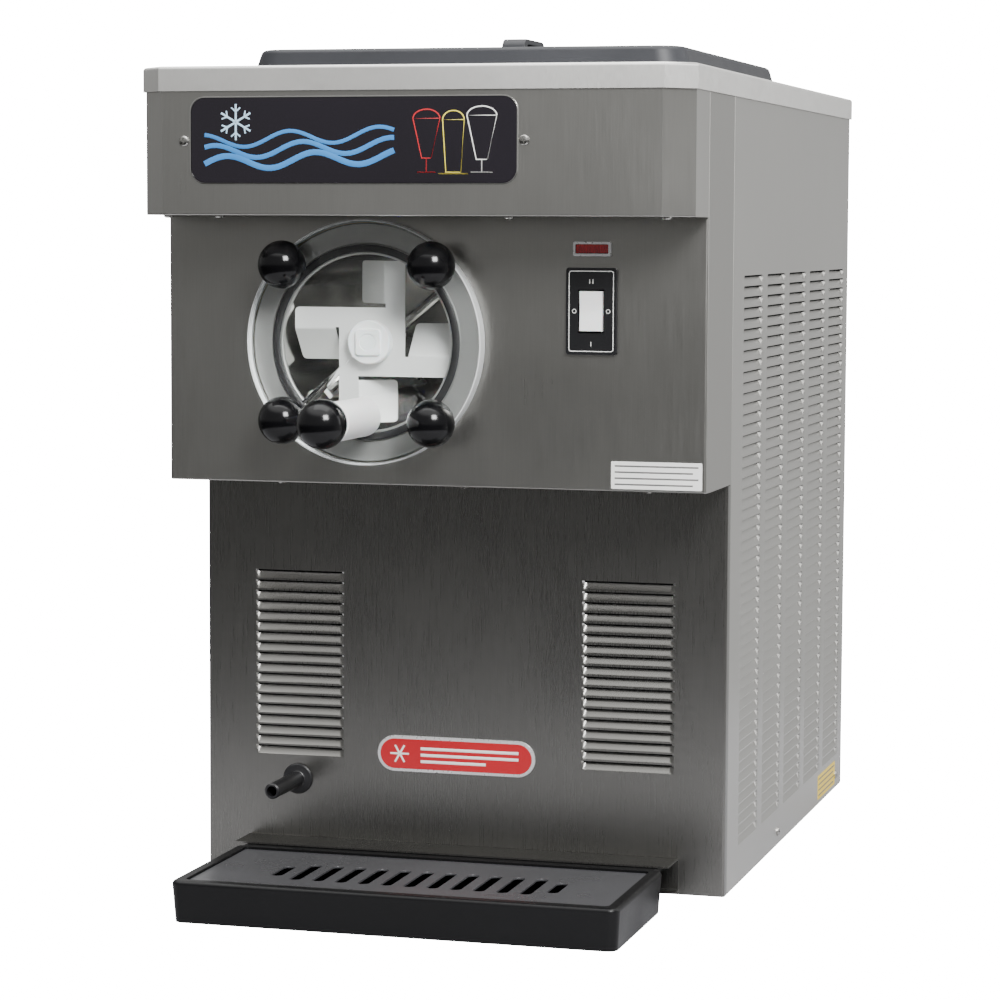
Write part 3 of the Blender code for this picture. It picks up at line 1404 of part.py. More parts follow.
def drip_tray():
    """A moulded pan with a ledge for the grid and a tongue that hooks into the bracket."""
    half = TRAY_WIDTH / 2
    low, high = (-half, TRAY_FRONT_Y, TRAY_BOTTOM), (half, TRAY_REAR_Y, TRAY_TOP)
    tray = block("drip_tray", low, high, "black_plastic")
    rim = TRAY_RIM
    seat = (
        (-half + rim, TRAY_FRONT_Y + rim, grid_bottom() - GAP),
        (half - rim, TRAY_REAR_Y - rim, TRAY_TOP + 0.01),
    )
    cut(tray, block("grid_seat", *seat, "black_plastic"))
    inner = rim + TRAY_WALL
    well = (
        (-half + inner, TRAY_FRONT_Y + inner, TRAY_BOTTOM + TRAY_WALL),
        (half - inner, TRAY_REAR_Y - inner, TRAY_TOP),
    )
    cut(tray, block("tray_well", *well, "black_plastic"))
    tongue_top = bracket_top() - SHEET - GAP
    tongue = (
        (-half + 0.006, TRAY_REAR_Y - 0.006, tongue_top - 0.005),
        (half - 0.006, PANEL_Y - GAP - SHEET - 0.004, tongue_top),
    )
    return fuse(tray, block("tray_tongue", *tongue, "black_plastic"))


def grid_bottom():
    return TRAY_TOP - 0.0015 - GRID_THICKNESS


def drip_grid():
    """The lift-out plate with its row of drain slots."""
    margin = TRAY_RIM + GAP
    half = TRAY_WIDTH / 2 - margin
    front, rear = TRAY_FRONT_Y + margin, TRAY_REAR_Y - margin
    bottom = grid_bottom()
    grid = block("drip_grid", (-half, front, bottom), (half, rear, bottom + GRID_THICKNESS), "black_plastic")
    slots = []
    for n in range(GRID_SLOTS):
        end = n in (0, GRID_SLOTS - 1)
        length = GRID_END_SLOT_LENGTH if end else GRID_SLOT_LENGTH
        outline = rounded_rectangle(GRID_SLOT_WIDTH, length, GRID_SLOT_WIDTH / 2 - 0.0001, 2)
        x = (n - (GRID_SLOTS - 1) / 2) * GRID_PITCH
        at = (x, (front + rear) / 2, bottom)
        slots.append(prism(f"grid_slot_{n}", outline, 0.02, "black_plastic", at=at))
    return cut_all(grid, slots)


def build():
    for make in (
        base_pan, feet, chassis_frame, rear_panel, cord_gland, lower_front_panel, upper_front_panel,
        header_fascia, sign_lens, sign_lamp, top_cap, hopper, feed_tube, hopper_lid, freezing_barrel,
        evaporator_coil, barrel_insulation, door_studs, door_plate, door_seal, spigot_body, valve_plunger,
        valve_knob, door_knobs, beater_shaft, beater_scrapers, beater_blades, beater_hub, gearbox_case,
        output_gear, input_pinion, driven_pulley, motor_pulley, drive_belt, drive_motor, compressor,
        condenser, fan_shroud, fan_blades, fan_motor, control_box, switch_plate, rocker, indicator_lamp,
        drain_spout, tray_bracket, drip_tray, drip_grid,
    ):
        make()
    side_panel("left_side_panel", -1)
    side_panel("right_side_panel", 1)


clear_scene()
parts = new_collection("drink_freezer")
cutters = new_collection("cutters")
cutters.hide_render = True
build()
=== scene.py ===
import math

import bpy
from mathutils import Matrix, Vector


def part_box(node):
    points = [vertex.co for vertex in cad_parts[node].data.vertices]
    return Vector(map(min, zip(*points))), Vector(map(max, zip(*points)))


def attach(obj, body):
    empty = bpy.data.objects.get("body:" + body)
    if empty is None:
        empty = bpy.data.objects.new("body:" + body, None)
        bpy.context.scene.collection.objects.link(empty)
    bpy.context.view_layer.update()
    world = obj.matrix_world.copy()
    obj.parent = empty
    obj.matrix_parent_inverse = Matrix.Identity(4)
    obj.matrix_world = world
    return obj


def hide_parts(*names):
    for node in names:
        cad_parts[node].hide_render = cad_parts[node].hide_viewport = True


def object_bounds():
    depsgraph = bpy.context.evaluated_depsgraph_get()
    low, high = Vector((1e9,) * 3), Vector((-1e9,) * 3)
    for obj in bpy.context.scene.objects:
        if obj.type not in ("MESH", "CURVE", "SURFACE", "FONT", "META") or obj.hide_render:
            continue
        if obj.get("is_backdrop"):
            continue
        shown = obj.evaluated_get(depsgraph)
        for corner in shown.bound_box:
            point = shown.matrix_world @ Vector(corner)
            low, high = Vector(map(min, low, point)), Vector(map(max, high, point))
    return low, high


mm = 0.001
quarter = math.pi / 2
frontTurn = (quarter, 0, 0)  # local Z faces the front
rearTurn = (quarter, 0, math.pi)
sideTurn = (quarter, 0, quarter)  # and here the right side
leftTurn = (quarter, 0, -quarter)
underTurn = (math.pi, 0, 0)
weld = 0.00002  # vertices this close are one
touch = 0.03 * mm  # and levels this close are the same
whiteOut = 20.0  # floor and world burn out to white where the camera sees them

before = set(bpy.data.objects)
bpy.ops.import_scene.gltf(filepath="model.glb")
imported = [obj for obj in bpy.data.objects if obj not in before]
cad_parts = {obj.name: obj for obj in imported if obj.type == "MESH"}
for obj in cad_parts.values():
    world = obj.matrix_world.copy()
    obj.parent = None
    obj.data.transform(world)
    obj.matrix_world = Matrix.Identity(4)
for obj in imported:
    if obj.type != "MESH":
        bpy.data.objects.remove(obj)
startLow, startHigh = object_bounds()


def near(value, target):
    return abs(value - target) < touch


def halfway(low, high):
    return (low + high) / 2


def edgesAt(**levels):
    # both ends of the edge lie at these levels
    return lambda a, b: all(near(getattr(p, axis), at) for axis, at in levels.items() for p in (a, b))


def vertical(a, b):
    return near(a.x, b.x) and near(a.y, b.y) and not near(a.z, b.z)


def deselectAll():
    if bpy.context.object and bpy.context.object.mode != "OBJECT":
        bpy.ops.object.mode_set(mode="OBJECT")
    bpy.ops.object.select_all(action="DESELECT")


def useOnly(obj):
    deselectAll()
    obj.select_set(True)
    bpy.context.view_layer.objects.active = obj


def started(name):
    obj = bpy.context.object
    obj.name = name
    obj.data.name = name
    bpy.ops.object.transform_apply(location=True, rotation=True, scale=True)
    return obj


def addBox(name, low, high):
    deselectAll()
    middle = [(a + b) / 2 for a, b in zip(low, high)]
    bpy.ops.mesh.primitive_cube_add(size=1, location=middle)
    bpy.context.object.scale = [b - a for a, b in zip(low, high)]
    return started(name)


def addCylinder(name, at, radius, depth, axis="Z", sides=32):
    turns = {"X": (0, quarter, 0), "Y": frontTurn, "Z": (0, 0, 0)}
    deselectAll()
    bpy.ops.mesh.primitive_cylinder_add(
        vertices=sides, radius=radius, depth=depth, location=at, rotation=turns[axis],
    )
    return started(name)


def pick(obj, kind, test):
    useOnly(obj)
    bpy.ops.object.mode_set(mode="EDIT")
    bpy.ops.mesh.select_mode(type=kind)
    bpy.ops.mesh.select_all(action="DESELECT")
    bpy.ops.object.mode_set(mode="OBJECT")
    mesh = obj.data
    if kind == "VERT":
        about = [(item, [item.co]) for item in mesh.vertices]
    if kind == "EDGE":
        about = [(item, [mesh.vertices[n].co for n in item.vertices]) for item in mesh.edges]
    if kind == "FACE":
        about = [(item, [item.center, item.normal]) for item in mesh.polygons]
    found = 0
    for item, facts in about:
        item.select = bool(test(*facts))
        found += item.select
    if not found:
        print("nothing picked on", obj.name)
    bpy.ops.object.mode_set(mode="EDIT")


def done(obj):
    bpy.ops.object.mode_set(mode="OBJECT")
    return obj


def move(obj, test, by):
    pick(obj, "VERT", test)
    bpy.ops.transform.translate(value=by)
    return done(obj)


def stretch(obj, test, scale, centre):
    pick(obj, "VERT", test)
    bpy.ops.transform.resize(value=scale, center_override=centre)
    return done(obj)


def pull(obj, test, by):
    pick(obj, "FACE", test)
    bpy.ops.mesh.extrude_region_move(TRANSFORM_OT_translate={"value": by})
    return done(obj)


def pullEdges(obj, test, by):
    pick(obj, "EDGE", test)
    bpy.ops.mesh.extrude_region_move(TRANSFORM_OT_translate={"value": by})
    return done(obj)


def roundEdges(obj, test, width, segments=3):
    pick(obj, "EDGE", test)
    bpy.ops.mesh.bevel(offset=width, offset_type="OFFSET", segments=segments, affect="EDGES")
    return done(obj)


def dropFaces(obj, test):
    pick(obj, "FACE", test)
    bpy.ops.mesh.delete(type="FACE")
    return done(obj)


def splitAt(obj, at, normal):
    pick(obj, "VERT", lambda p: True)
    bpy.ops.mesh.bisect(plane_co=at, plane_no=normal)
    return done(obj)


def tidyNormals(obj):
    pick(obj, "VERT", lambda p: True)
    bpy.ops.mesh.remove_doubles(threshold=weld)
    bpy.ops.mesh.normals_make_consistent(inside=False)
    return done(obj)


def flipAll(obj):
    pick(obj, "FACE", lambda c, n: True)
    bpy.ops.mesh.flip_normals()
    return done(obj)


def modify(obj, kind, **settings):
    useOnly(obj)
    modifier = obj.modifiers.new(kind, kind)
    for key, value in settings.items():
        setattr(modifier, key, value)
    bpy.ops.object.modifier_apply(modifier=modifier.name)
    return obj


def cutBy(obj, *cutters):
    for cutter in cutters:
        modify(obj, "BOOLEAN", operation="DIFFERENCE", solver="EXACT", object=cutter)
        bpy.data.objects.remove(cutter)
    return obj


def joined(name, *parts):
    useOnly(parts[0])
    for part in parts[1:]:
        part.select_set(True)
    bpy.ops.object.join()
    return started(name)


def copyOf(obj, name, at=(0, 0, 0), turn=(0, 0, 0)):
    useOnly(obj)
    bpy.ops.object.duplicate(linked=False)
    bpy.context.object.location = at
    bpy.context.object.rotation_euler = turn
    return started(name)


def placed(obj, at=(0, 0, 0), turn=(0, 0, 0)):
    useOnly(obj)
    obj.location = at
    obj.rotation_euler = turn
    return started(obj.name)


def chain(name, points):
    deselectAll()
    bpy.ops.mesh.primitive_plane_add(size=mm)
    obj = started(name)
    bpy.ops.object.mode_set(mode="EDIT")
    bpy.ops.mesh.select_mode(type="VERT")
    bpy.ops.mesh.select_all(action="SELECT")
    bpy.ops.mesh.merge(type="CENTER")
    bpy.ops.transform.translate(value=points[0])
    for a, b in zip(points, points[1:]):
        step = [q - p for p, q in zip(a, b)]
        bpy.ops.mesh.extrude_region_move(TRANSFORM_OT_translate={"value": step})
    return obj


def turned(name, profile, at, turn=(0, 0, 0), sides=48):
    obj = chain(name, [(r, 0, z) for r, z in profile])
    bpy.ops.mesh.select_all(action="SELECT")
    bpy.ops.mesh.spin(steps=sides, angle=2 * math.pi, center=(0, 0, 0), axis=(0, 0, 1))
    bpy.ops.mesh.select_all(action="SELECT")
    bpy.ops.mesh.remove_doubles(threshold=weld / 2)
    bpy.ops.mesh.normals_make_consistent(inside=False)
    done(obj)
    return placed(obj, at, turn)


def slab(name, outline, thickness, at=(0, 0, 0), turn=(0, 0, 0)):
    obj = chain(name, [(x, y, 0) for x, y in outline])
    bpy.ops.mesh.select_all(action="SELECT")
    bpy.ops.mesh.edge_face_add()
    bpy.ops.mesh.extrude_region_move(TRANSFORM_OT_translate={"value": (0, 0, thickness)})
    bpy.ops.mesh.select_all(action="SELECT")
    bpy.ops.mesh.normals_make_consistent(inside=False)
    done(obj)
    return placed(obj, at, turn)


def arcPoints(x, y, radius, first, last, steps):
    found = []
    for n in range(steps + 1):
        a = math.radians(first + (last - first) * n / steps)
        found.append((x + radius * math.cos(a), y + radius * math.sin(a)))
    return found


def roundedOutline(width, height, radius, steps=6):
    x, y = width / 2 - radius, height / 2 - radius
    found = []
    for cx, cy, first in ((x, y, 0), (-x, y, 90), (-x, -y, 180), (x, -y, 270)):
        found += arcPoints(cx, cy, radius, first, first + 90, steps)
    return found


def frontPlate(name, size, thickness, at):
    # a rounded plate of this width, height and corner that stands out to the front from at
    return slab(name, roundedOutline(*size), thickness, at, frontTurn)


def stroke(name, points, width, closed=False, flat=0.25):
    path = [(x, y, 0) for x, y in points]
    obj = chain(name, path + path[:1] if closed else path)
    done(obj)
    useOnly(obj)
    bpy.ops.object.convert(target="CURVE")
    bpy.context.object.data.bevel_depth = width / 2
    bpy.context.object.data.bevel_resolution = 1
    bpy.context.object.data.use_fill_caps = True
    bpy.ops.object.convert(target="MESH")
    obj = bpy.context.object
    stretch(obj, lambda p: True, (1, 1, flat), (0, 0, 0))
    return obj


def hexToLinear(text):
    parts = [int(text[n : n + 2], 16) / 255 for n in (1, 3, 5)]
    return [p / 12.92 if p <= 0.04045 else ((p + 0.055) / 1.055) ** 2.4 for p in parts] + [1]


def addNode(tree, kind, values=(), links=(), **settings):
    node = tree.nodes.new(kind)
    for key, value in settings.items():
        setattr(node, key, value)
    for key, value in values:
        node.inputs[key].default_value = value
    for key, socket in links:
        tree.links.new(socket, node.inputs[key])
    return node


def startMaterial(name, values):
    made = bpy.data.materials.new(name)
    made.use_nodes = True
    tree = made.node_tree
    tree.nodes.clear()
    output = addNode(tree, "ShaderNodeOutputMaterial")
    shader = addNode(tree, "ShaderNodeBsdfPrincipled", values)
    tree.links.new(shader.outputs["BSDF"], output.inputs["Surface"])
    return made, tree, shader


noiseSpan = [("From Min", 0.3), ("From Max", 0.7)]  # nearly all of the noise lies in here
patchDetail = 3.0
metalPatches, plasticPatches = 9.0, 14.0  # noise scale, in patches per metre


def makeMaterial(name, **look):
    # noise in object space varies colour and roughness, and finer noise, sized in mm, makes the grain
    metal = "smudge" in look
    made, tree, shader = startMaterial(name, look.get("values", [("Metallic", 1.0)] if metal else []))
    where = addNode(tree, "ShaderNodeTexCoord")
    spot = where.outputs["Object"]
    grainSizes = look["grain"] if isinstance(look["grain"], tuple) else (look["grain"],) * 3
    fine = [("Scale", [1 / (size * mm) for size in grainSizes])]
    mapped = addNode(tree, "ShaderNodeMapping", fine, [("Vector", spot)]).outputs["Vector"]
    detail = [("Scale", 1.0), ("Detail", 3.0 if metal else 2.0)]
    grain = addNode(tree, "ShaderNodeTexNoise", detail, [("Vector", mapped)]).outputs["Fac"]
    wide = [("Scale", metalPatches if metal else plasticPatches), ("Detail", patchDetail)]
    patches = addNode(tree, "ShaderNodeTexNoise", wide, [("Vector", spot)]).outputs["Fac"]
    spread = grain if metal else patches
    first, second = (hexToLinear(text) for text in look["colours"])
    colour = addNode(
        tree, "ShaderNodeMix", [(6, first), (7, second)], [(0, spread)], data_type="RGBA",
    ).outputs[2]
    if "pressed" in look:
        # faces that lean under the sheet's plane take the painted glint colour, a painted highlight standing
        # in for light caught on the louvres
        normal = where.outputs["Normal"]
        lean = addNode(tree, "ShaderNodeSeparateXYZ", links=[(0, normal)]).outputs["Z"]
        leanSpan = [("From Min", -0.12), ("From Max", -0.36)]
        share = addNode(tree, "ShaderNodeMapRange", leanSpan, [("Value", lean)]).outputs["Result"]
        pressed = [(7, hexToLinear(look["pressed"]))]
        colour = addNode(
            tree, "ShaderNodeMix", pressed, [(0, share), (6, colour)], data_type="RGBA",
        ).outputs[2]
    tree.links.new(colour, shader.inputs["Base Color"])
    low, high = look["rough"]
    roughSpan = noiseSpan + [("To Min", low), ("To Max", high)]
    rough = addNode(tree, "ShaderNodeMapRange", roughSpan, [("Value", spread)]).outputs["Result"]
    if metal:
        smudgeSpan = noiseSpan + [("To Min", -look["smudge"]), ("To Max", look["smudge"])]
        smudge = addNode(tree, "ShaderNodeMapRange", smudgeSpan, [("Value", patches)]).outputs["Result"]
        rough = addNode(tree, "ShaderNodeMath", links=[(0, rough), (1, smudge)], operation="ADD").outputs[0]
    tree.links.new(rough, shader.inputs["Roughness"])
    height = [("Strength", 1.0), ("Distance", look["depth"] * mm)]
    bump = addNode(tree, "ShaderNodeBump", height, [("Height", grain)])
    tree.links.new(bump.outputs["Normal"], shader.inputs["Normal"])
    return made


# Stainless sheet, rolled and brushed along its height with a belt
brushedSteel = makeMaterial(
    "brushedStainlessSheet", colours=("#b3b2ae", "#bdbcb8"), grain=(0.35, 0.35, 30), rough=(0.29, 0.34),
    smudge=0.02, depth=0.0008,
)
# The same sheet on the upper front panel, in a darker colour: painted shade
shadedUpperSheet = makeMaterial(
    "brushedSheetPaintedShade", colours=("#a3a29e", "#adaca8"), grain=(0.35, 0.35, 30), rough=(0.29, 0.34),
    smudge=0.02, depth=0.0008,
)
# Front sheet, brushed; its colour is darkened as painted shade, and its louvres take a painted highlight
frontSheetShadeAndGlint = makeMaterial(
    "brushedFrontSheetShadeAndGlint", colours=("#7b7a77", "#858481"), pressed="#faf9f7", grain=(0.35, 0.35, 30),
    rough=(0.26, 0.31), smudge=0.02, depth=0.0004,
)
# Stainless sheet that was pressed into louvres, brushed before pressing; its colour is lighter than the
# header's sheet as painted light on the lit sides
litLouvreSheet = makeMaterial(
    "brushedLouvreSheetPaintedLight", colours=("#bab9b5", "#c4c3bf"), grain=(0.35, 0.35, 30), rough=(0.30, 0.35),
    smudge=0.02, depth=0.0008,
)
# Stainless steel that was ground and buffed bright
polishedSteel = makeMaterial(
    "buffedStainless", colours=("#d6d5d1", "#e6e5e2"), grain=1.6, rough=(0.10, 0.18), smudge=0.03,
    depth=0.001,
)
# Stainless sheet, bead blasted to a satin
satinSteel = makeMaterial(
    "beadBlastedStainless", colours=("#a9a8a5", "#b6b5b2"), grain=0.5, rough=(0.44, 0.52), smudge=0.03,
    depth=0.004,
)
# Beater plate, satin stainless painted near white and less metallic than the flange so it scatters light
# almost evenly: painted light
litBeaterSheet = makeMaterial(
    "beaterSheetPaintedLight", colours=("#e4e3e0", "#efeeec"), values=[("Metallic", 0.35)], grain=0.5,
    rough=(0.46, 0.54), smudge=0.03, depth=0.004,
)
# Thick stainless sheet of the cap, cross brushed, its colour lighter than the other sheets as painted light
litCapSheet = makeMaterial(
    "crossBrushedCapSheetPaintedLight", colours=("#dddcd9", "#e6e5e2"), grain=(0.4, 6, 6), rough=(0.48, 0.56),
    smudge=0.02, depth=0.001,
)
# Turned and nickel plated screws
screwSteel = makeMaterial(
    "nickelPlatedScrew", colours=("#a9a8a5", "#cbcac6"), grain=0.3, rough=(0.18, 0.30), smudge=0.02,
    depth=0.002,
)
# Chromium plated brass bezel
chromePlate = makeMaterial(
    "chromePlatedBezel", colours=("#e4e4e4", "#f1f1f2"), values=[("Metallic", 0.7)], grain=2.0,
    rough=(0.26, 0.34), smudge=0.01, depth=0.0005,
)
# Hot-dip galvanised mild steel with its spangle
galvanised = makeMaterial(
    "galvanisedSheet", colours=("#8f9498", "#b9bdc0"), grain=9, rough=(0.34, 0.55), smudge=0.04,
    depth=0.002,
)
# Drawn copper tube, dulled by handling
copperTube = makeMaterial(
    "drawnCopperTube", colours=("#a8603c", "#c98257"), grain=6, rough=(0.25, 0.42), smudge=0.04,
    depth=0.001,
)
# Aluminium die casting, shot blasted
castMetal = makeMaterial(
    "dieCastAluminium", colours=("#7f8284", "#a1a4a6"), grain=0.8, rough=(0.42, 0.60), smudge=0.03,
    depth=0.03,
)
# Hobbed gear steel under a film of oil
gearSteel = makeMaterial(
    "oiledGearSteel", colours=("#6d6c69", "#93918c"), grain=(0.3, 0.3, 8), rough=(0.20, 0.34),
    smudge=0.04, depth=0.003,
)
# Aluminium condenser fins, slightly dusty
finMetal = makeMaterial(
    "condenserFinAluminium", colours=("#9aa0a3", "#bfc3c4"), grain=(0.6, 20, 1.8), rough=(0.35, 0.55),
    smudge=0.05, depth=0.08,
)
# Black sheet behind the louvre slots: painted shade that keeps the slots dark
shadeSheetBlack = makeMaterial(
    "paintedShadeSheet", colours=("#060606", "#0c0c0c"), rough=(0.7, 0.9), grain=0.8, depth=0.2,
)
# Injection moulded black nylon with a spark-eroded grain
grainedBlack = makeMaterial(
    "grainedBlackPlastic", colours=("#060607", "#0b0b0d"), rough=(0.32, 0.42), grain=0.55, depth=0.04,
    values=[("Specular IOR Level", 0.26)],
)
# The grid's black nylon, lighter grey all over: a painted sheen for the overhead light on its top
gridBlackSheen = makeMaterial(
    "gridPlasticPaintedSheen", colours=("#38383a", "#454548"), rough=(0.24, 0.34), grain=0.55, depth=0.03,
    values=[("Specular IOR Level", 0.75)],
)
# Black polyethylene lid, vacuum formed, with a satin skin; its colour is lifted towards grey as a painted
# sheen
lidPlasticSheen = makeMaterial(
    "formedLidPlasticPaintedSheen", colours=("#232427", "#2c2d31"), rough=(0.38, 0.50), grain=0.7, depth=0.04,
    values=[("Specular IOR Level", 0.36)],
)
# Smooth black nylon
smoothBlack = makeMaterial(
    "smoothBlackPlastic", colours=("#101012", "#1a1a1c"), rough=(0.28, 0.40), grain=0.9, depth=0.01,
)
# Phenolic ball knobs, tumbled to a gloss
blackBall = makeMaterial(
    "blackPhenolicBall", colours=("#070708", "#0c0c0e"), rough=(0.12, 0.17), grain=6.0, depth=0.004,
    values=[("Specular IOR Level", 0.32)],
)
# Turned white acetal
whiteAcetal = makeMaterial(
    "turnedWhiteAcetal", colours=("#f8f8f6", "#fdfdfc"), rough=(0.24, 0.36), grain=0.8, depth=0.004,
    values=[("Subsurface Weight", 0.12), ("Subsurface Scale", 0.004)],
)
# Nitrile rubber ring, greased
blackRubber = makeMaterial(
    "nitrileRubber", colours=("#0b0b0c", "#161617"), rough=(0.42, 0.62), grain=0.5, depth=0.02,
)
# Polyurethane foam poured round the barrel
foamSkin = makeMaterial(
    "pouredFoam", colours=("#c8b27a", "#dcc994"), rough=(0.75, 0.92), grain=3.0, depth=0.5,
)
# Baked motor enamel
motorEnamel = makeMaterial(
    "bakedMotorEnamel", colours=("#1b1d20", "#27292d"), rough=(0.30, 0.45), grain=1.4, depth=0.04,
)
# Glass-filled fan nylon
fanPlastic = makeMaterial(
    "glassFilledFanNylon", colours=("#2a2b2c", "#3a3b3c"), rough=(0.45, 0.62), grain=0.7, depth=0.03,
)
# Frosted lamp tube, unlit
lampGlass = makeMaterial(
    "frostedLampTube", colours=("#dcdcd6", "#ecece8"), rough=(0.30, 0.42), grain=1.2, depth=0.006,
)
# Red acrylic indicator lens over a dark well
redLens = makeMaterial(
    "redAcrylicLens", colours=("#8e1119", "#b81a24"), rough=(0.08, 0.16), grain=1.5, depth=0.004,
    values=[("Coat Weight", 0.5), ("Coat Roughness", 0.05)],
)
# Red enamel of the badge
redEnamel = makeMaterial(
    "redBadgeEnamel", colours=("#a3121c", "#b61722"), rough=(0.14, 0.22), grain=2.0, depth=0.004,
)
# White screen print
whitePrint = makeMaterial(
    "whiteScreenPrint", colours=("#e4e4e0", "#f1f1ee"), rough=(0.34, 0.48), grain=0.6, depth=0.004,
)
# Grey screen print
greyPrint = makeMaterial(
    "greyScreenPrint", colours=("#5c5c5a", "#6d6d6a"), rough=(0.4, 0.5), grain=0.6, depth=0.002,
)
# Yellow vinyl label
yellowVinyl = makeMaterial(
    "yellowVinylLabel", colours=("#e6c200", "#f0cf10"), rough=(0.3, 0.42), grain=0.9, depth=0.003,
)
# Blue, yellow and red inks under the sign's gloss
blueInk = makeMaterial(
    "blueSignInk", colours=("#2f6fb4", "#4b93d2"), rough=(0.12, 0.2), grain=1.0, depth=0.002,
)
paleInk = makeMaterial(
    "paleBlueSignInk", colours=("#a9cfea", "#cfe6f5"), rough=(0.12, 0.2), grain=1.0, depth=0.002,
)
yellowInk = makeMaterial(
    "yellowSignInk", colours=("#d9c84a", "#e8da66"), rough=(0.12, 0.2), grain=1.0, depth=0.002,
)
redInk = makeMaterial(
    "redSignInk", colours=("#b3262c", "#cb3a3c"), rough=(0.12, 0.2), grain=1.0, depth=0.002,
)
# Acrylic sign sheet printed dark purple on its back
signSheet = makeMaterial(
    "printedSignAcrylic", colours=("#120f15", "#1a161d"), rough=(0.07, 0.12), grain=9.0, depth=0.002,
    values=[("Coat Weight", 0.3), ("Coat Roughness", 0.03)],
)


def makeClear(name, **look):
    # clear all over but for a satin rim, and it lets the lamps' light straight through
    made, tree, shader = startMaterial(
        name, [("Transmission Weight", 1.0), ("IOR", 1.49), ("Base Color", hexToLinear("#f6f8f8"))],
    )
    where = addNode(tree, "ShaderNodeTexCoord").outputs["Object"]
    wide = [("Scale", look["patches"]), ("Detail", patchDetail)]
    patches = addNode(tree, "ShaderNodeTexNoise", wide, [("Vector", where)]).outputs["Fac"]
    low, high = look["rough"]
    roughSpan = noiseSpan + [("To Min", low), ("To Max", high)]
    clear = addNode(tree, "ShaderNodeMapRange", roughSpan, [("Value", patches)]).outputs["Result"]
    offset = addNode(
        tree, "ShaderNodeVectorMath", [(1, look["centre"])], [(0, where)], operation="SUBTRACT",
    ).outputs[0]
    flat = addNode(
        tree, "ShaderNodeVectorMath", [(1, (1, 0, 1))], [(0, offset)], operation="MULTIPLY",
    ).outputs[0]
    away = addNode(tree, "ShaderNodeVectorMath", links=[(0, flat)], operation="LENGTH").outputs["Value"]
    rim = addNode(
        tree, "ShaderNodeMapRange",
        [("From Min", look["rim"] - 0.2 * mm), ("From Max", look["rim"] + 0.2 * mm)], [("Value", away)],
    ).outputs["Result"]
    rough = addNode(tree, "ShaderNodeMath", [(1, look["rimRough"])], [(0, rim)], operation="MULTIPLY")
    rough = addNode(tree, "ShaderNodeMath", links=[(0, clear), (1, rough.outputs[0])], operation="ADD")
    tree.links.new(rough.outputs[0], shader.inputs["Roughness"])
    passed = addNode(
        tree, "ShaderNodeMapRange", [("To Min", 1.0), ("To Max", look["rimPass"])], [("Value", rim)],
    )
    tree.links.new(passed.outputs["Result"], shader.inputs["Transmission Weight"])
    inShadow = addNode(tree, "ShaderNodeLightPath").outputs["Is Shadow Ray"]
    letThrough = addNode(tree, "ShaderNodeBsdfTransparent", [("Color", hexToLinear("#f4f6f6"))])
    mixed = addNode(
        tree, "ShaderNodeMixShader",
        links=[(0, inShadow), (1, shader.outputs["BSDF"]), (2, letThrough.outputs[0])],
    )
    tree.links.new(mixed.outputs[0], tree.nodes["Material Output"].inputs["Surface"])
    return made


print("materials made")


def finishPiece(obj, material, body, nodes=(), angle=35):
    useOnly(obj)
    bpy.ops.object.shade_smooth_by_angle(angle=math.radians(angle))
    modify(obj, "WEIGHTED_NORMAL", keep_sharp=True, weight=80)
    obj.data.materials.clear()
    obj.data.materials.append(material)
    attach(obj, body)
    if nodes:
        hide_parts(*nodes)
    return obj


panelLow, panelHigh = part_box("lower_front_panel")
sideLow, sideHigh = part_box("right_side_panel")
upperLow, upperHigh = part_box("upper_front_panel")
headerLow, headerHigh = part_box("header_fascia")
capLow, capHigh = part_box("top_cap")
rearLow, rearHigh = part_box("rear_panel")
doorLow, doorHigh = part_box("door_plate")
sheetThickness = 1.2 * mm

louvre = {"pitch": 8.1 * mm, "rows": (0.5, 1.3, 3.4, 5.9, 7.3), "depths": {1.3: 0.8, 3.4: 1.9, 5.9: 3.2}}


def louvreCell(name, width, first, last):
    # one pressed louvre with the sheet round it, flat in XY and pressed towards -Z
    deselectAll()
    bpy.ops.mesh.primitive_plane_add(size=1, location=(width / 2, louvre["pitch"] / 2, 0))
    bpy.context.object.scale = (width, louvre["pitch"], 1)
    obj = started(name)
    edges = (first, first + 1.6 * mm, first + 4 * mm, last - 4 * mm, last - 1.6 * mm, last)
    for x in edges:
        splitAt(obj, (x, 0, 0), (1, 0, 0))
    for row in louvre["rows"]:
        splitAt(obj, (0, row * mm, 0), (0, 1, 0))
    inner = (first + 3 * mm, last - 3 * mm)
    shoulder = (first + mm, last - mm)
    dropFaces(obj, lambda c, n: shoulder[0] < c.x < shoulder[1] and 5.9 * mm < c.y < 7.3 * mm)

    def inRow(p, span):
        return span[0] < p.x < span[1] and abs(p.y - row * mm) < 0.05 * mm

    for row, depth in louvre["depths"].items():
        move(obj, lambda p: inRow(p, inner), (0, 0, -depth * mm))
        move(obj, lambda p: inRow(p, shoulder) and not inRow(p, inner), (0, 0, -0.6 * depth * mm))
    return obj


def gridOf(obj, width, columns, rows):
    for count, step in ((rows, (0, louvre["pitch"], 0)), (columns, (width, 0, 0))):
        if count > 1:
            modify(
                obj, "ARRAY", count=count, use_relative_offset=False, use_constant_offset=True,
                constant_offset_displace=step, use_merge_vertices=True, merge_threshold=weld,
            )
    return obj


def extendTo(obj, axis, start, end):
    # the free edge at start grows out to end
    step = [0, 0, 0]
    step[axis] = end - start
    pullEdges(obj, lambda a, b: near(a[axis], start) and near(b[axis], start), step)


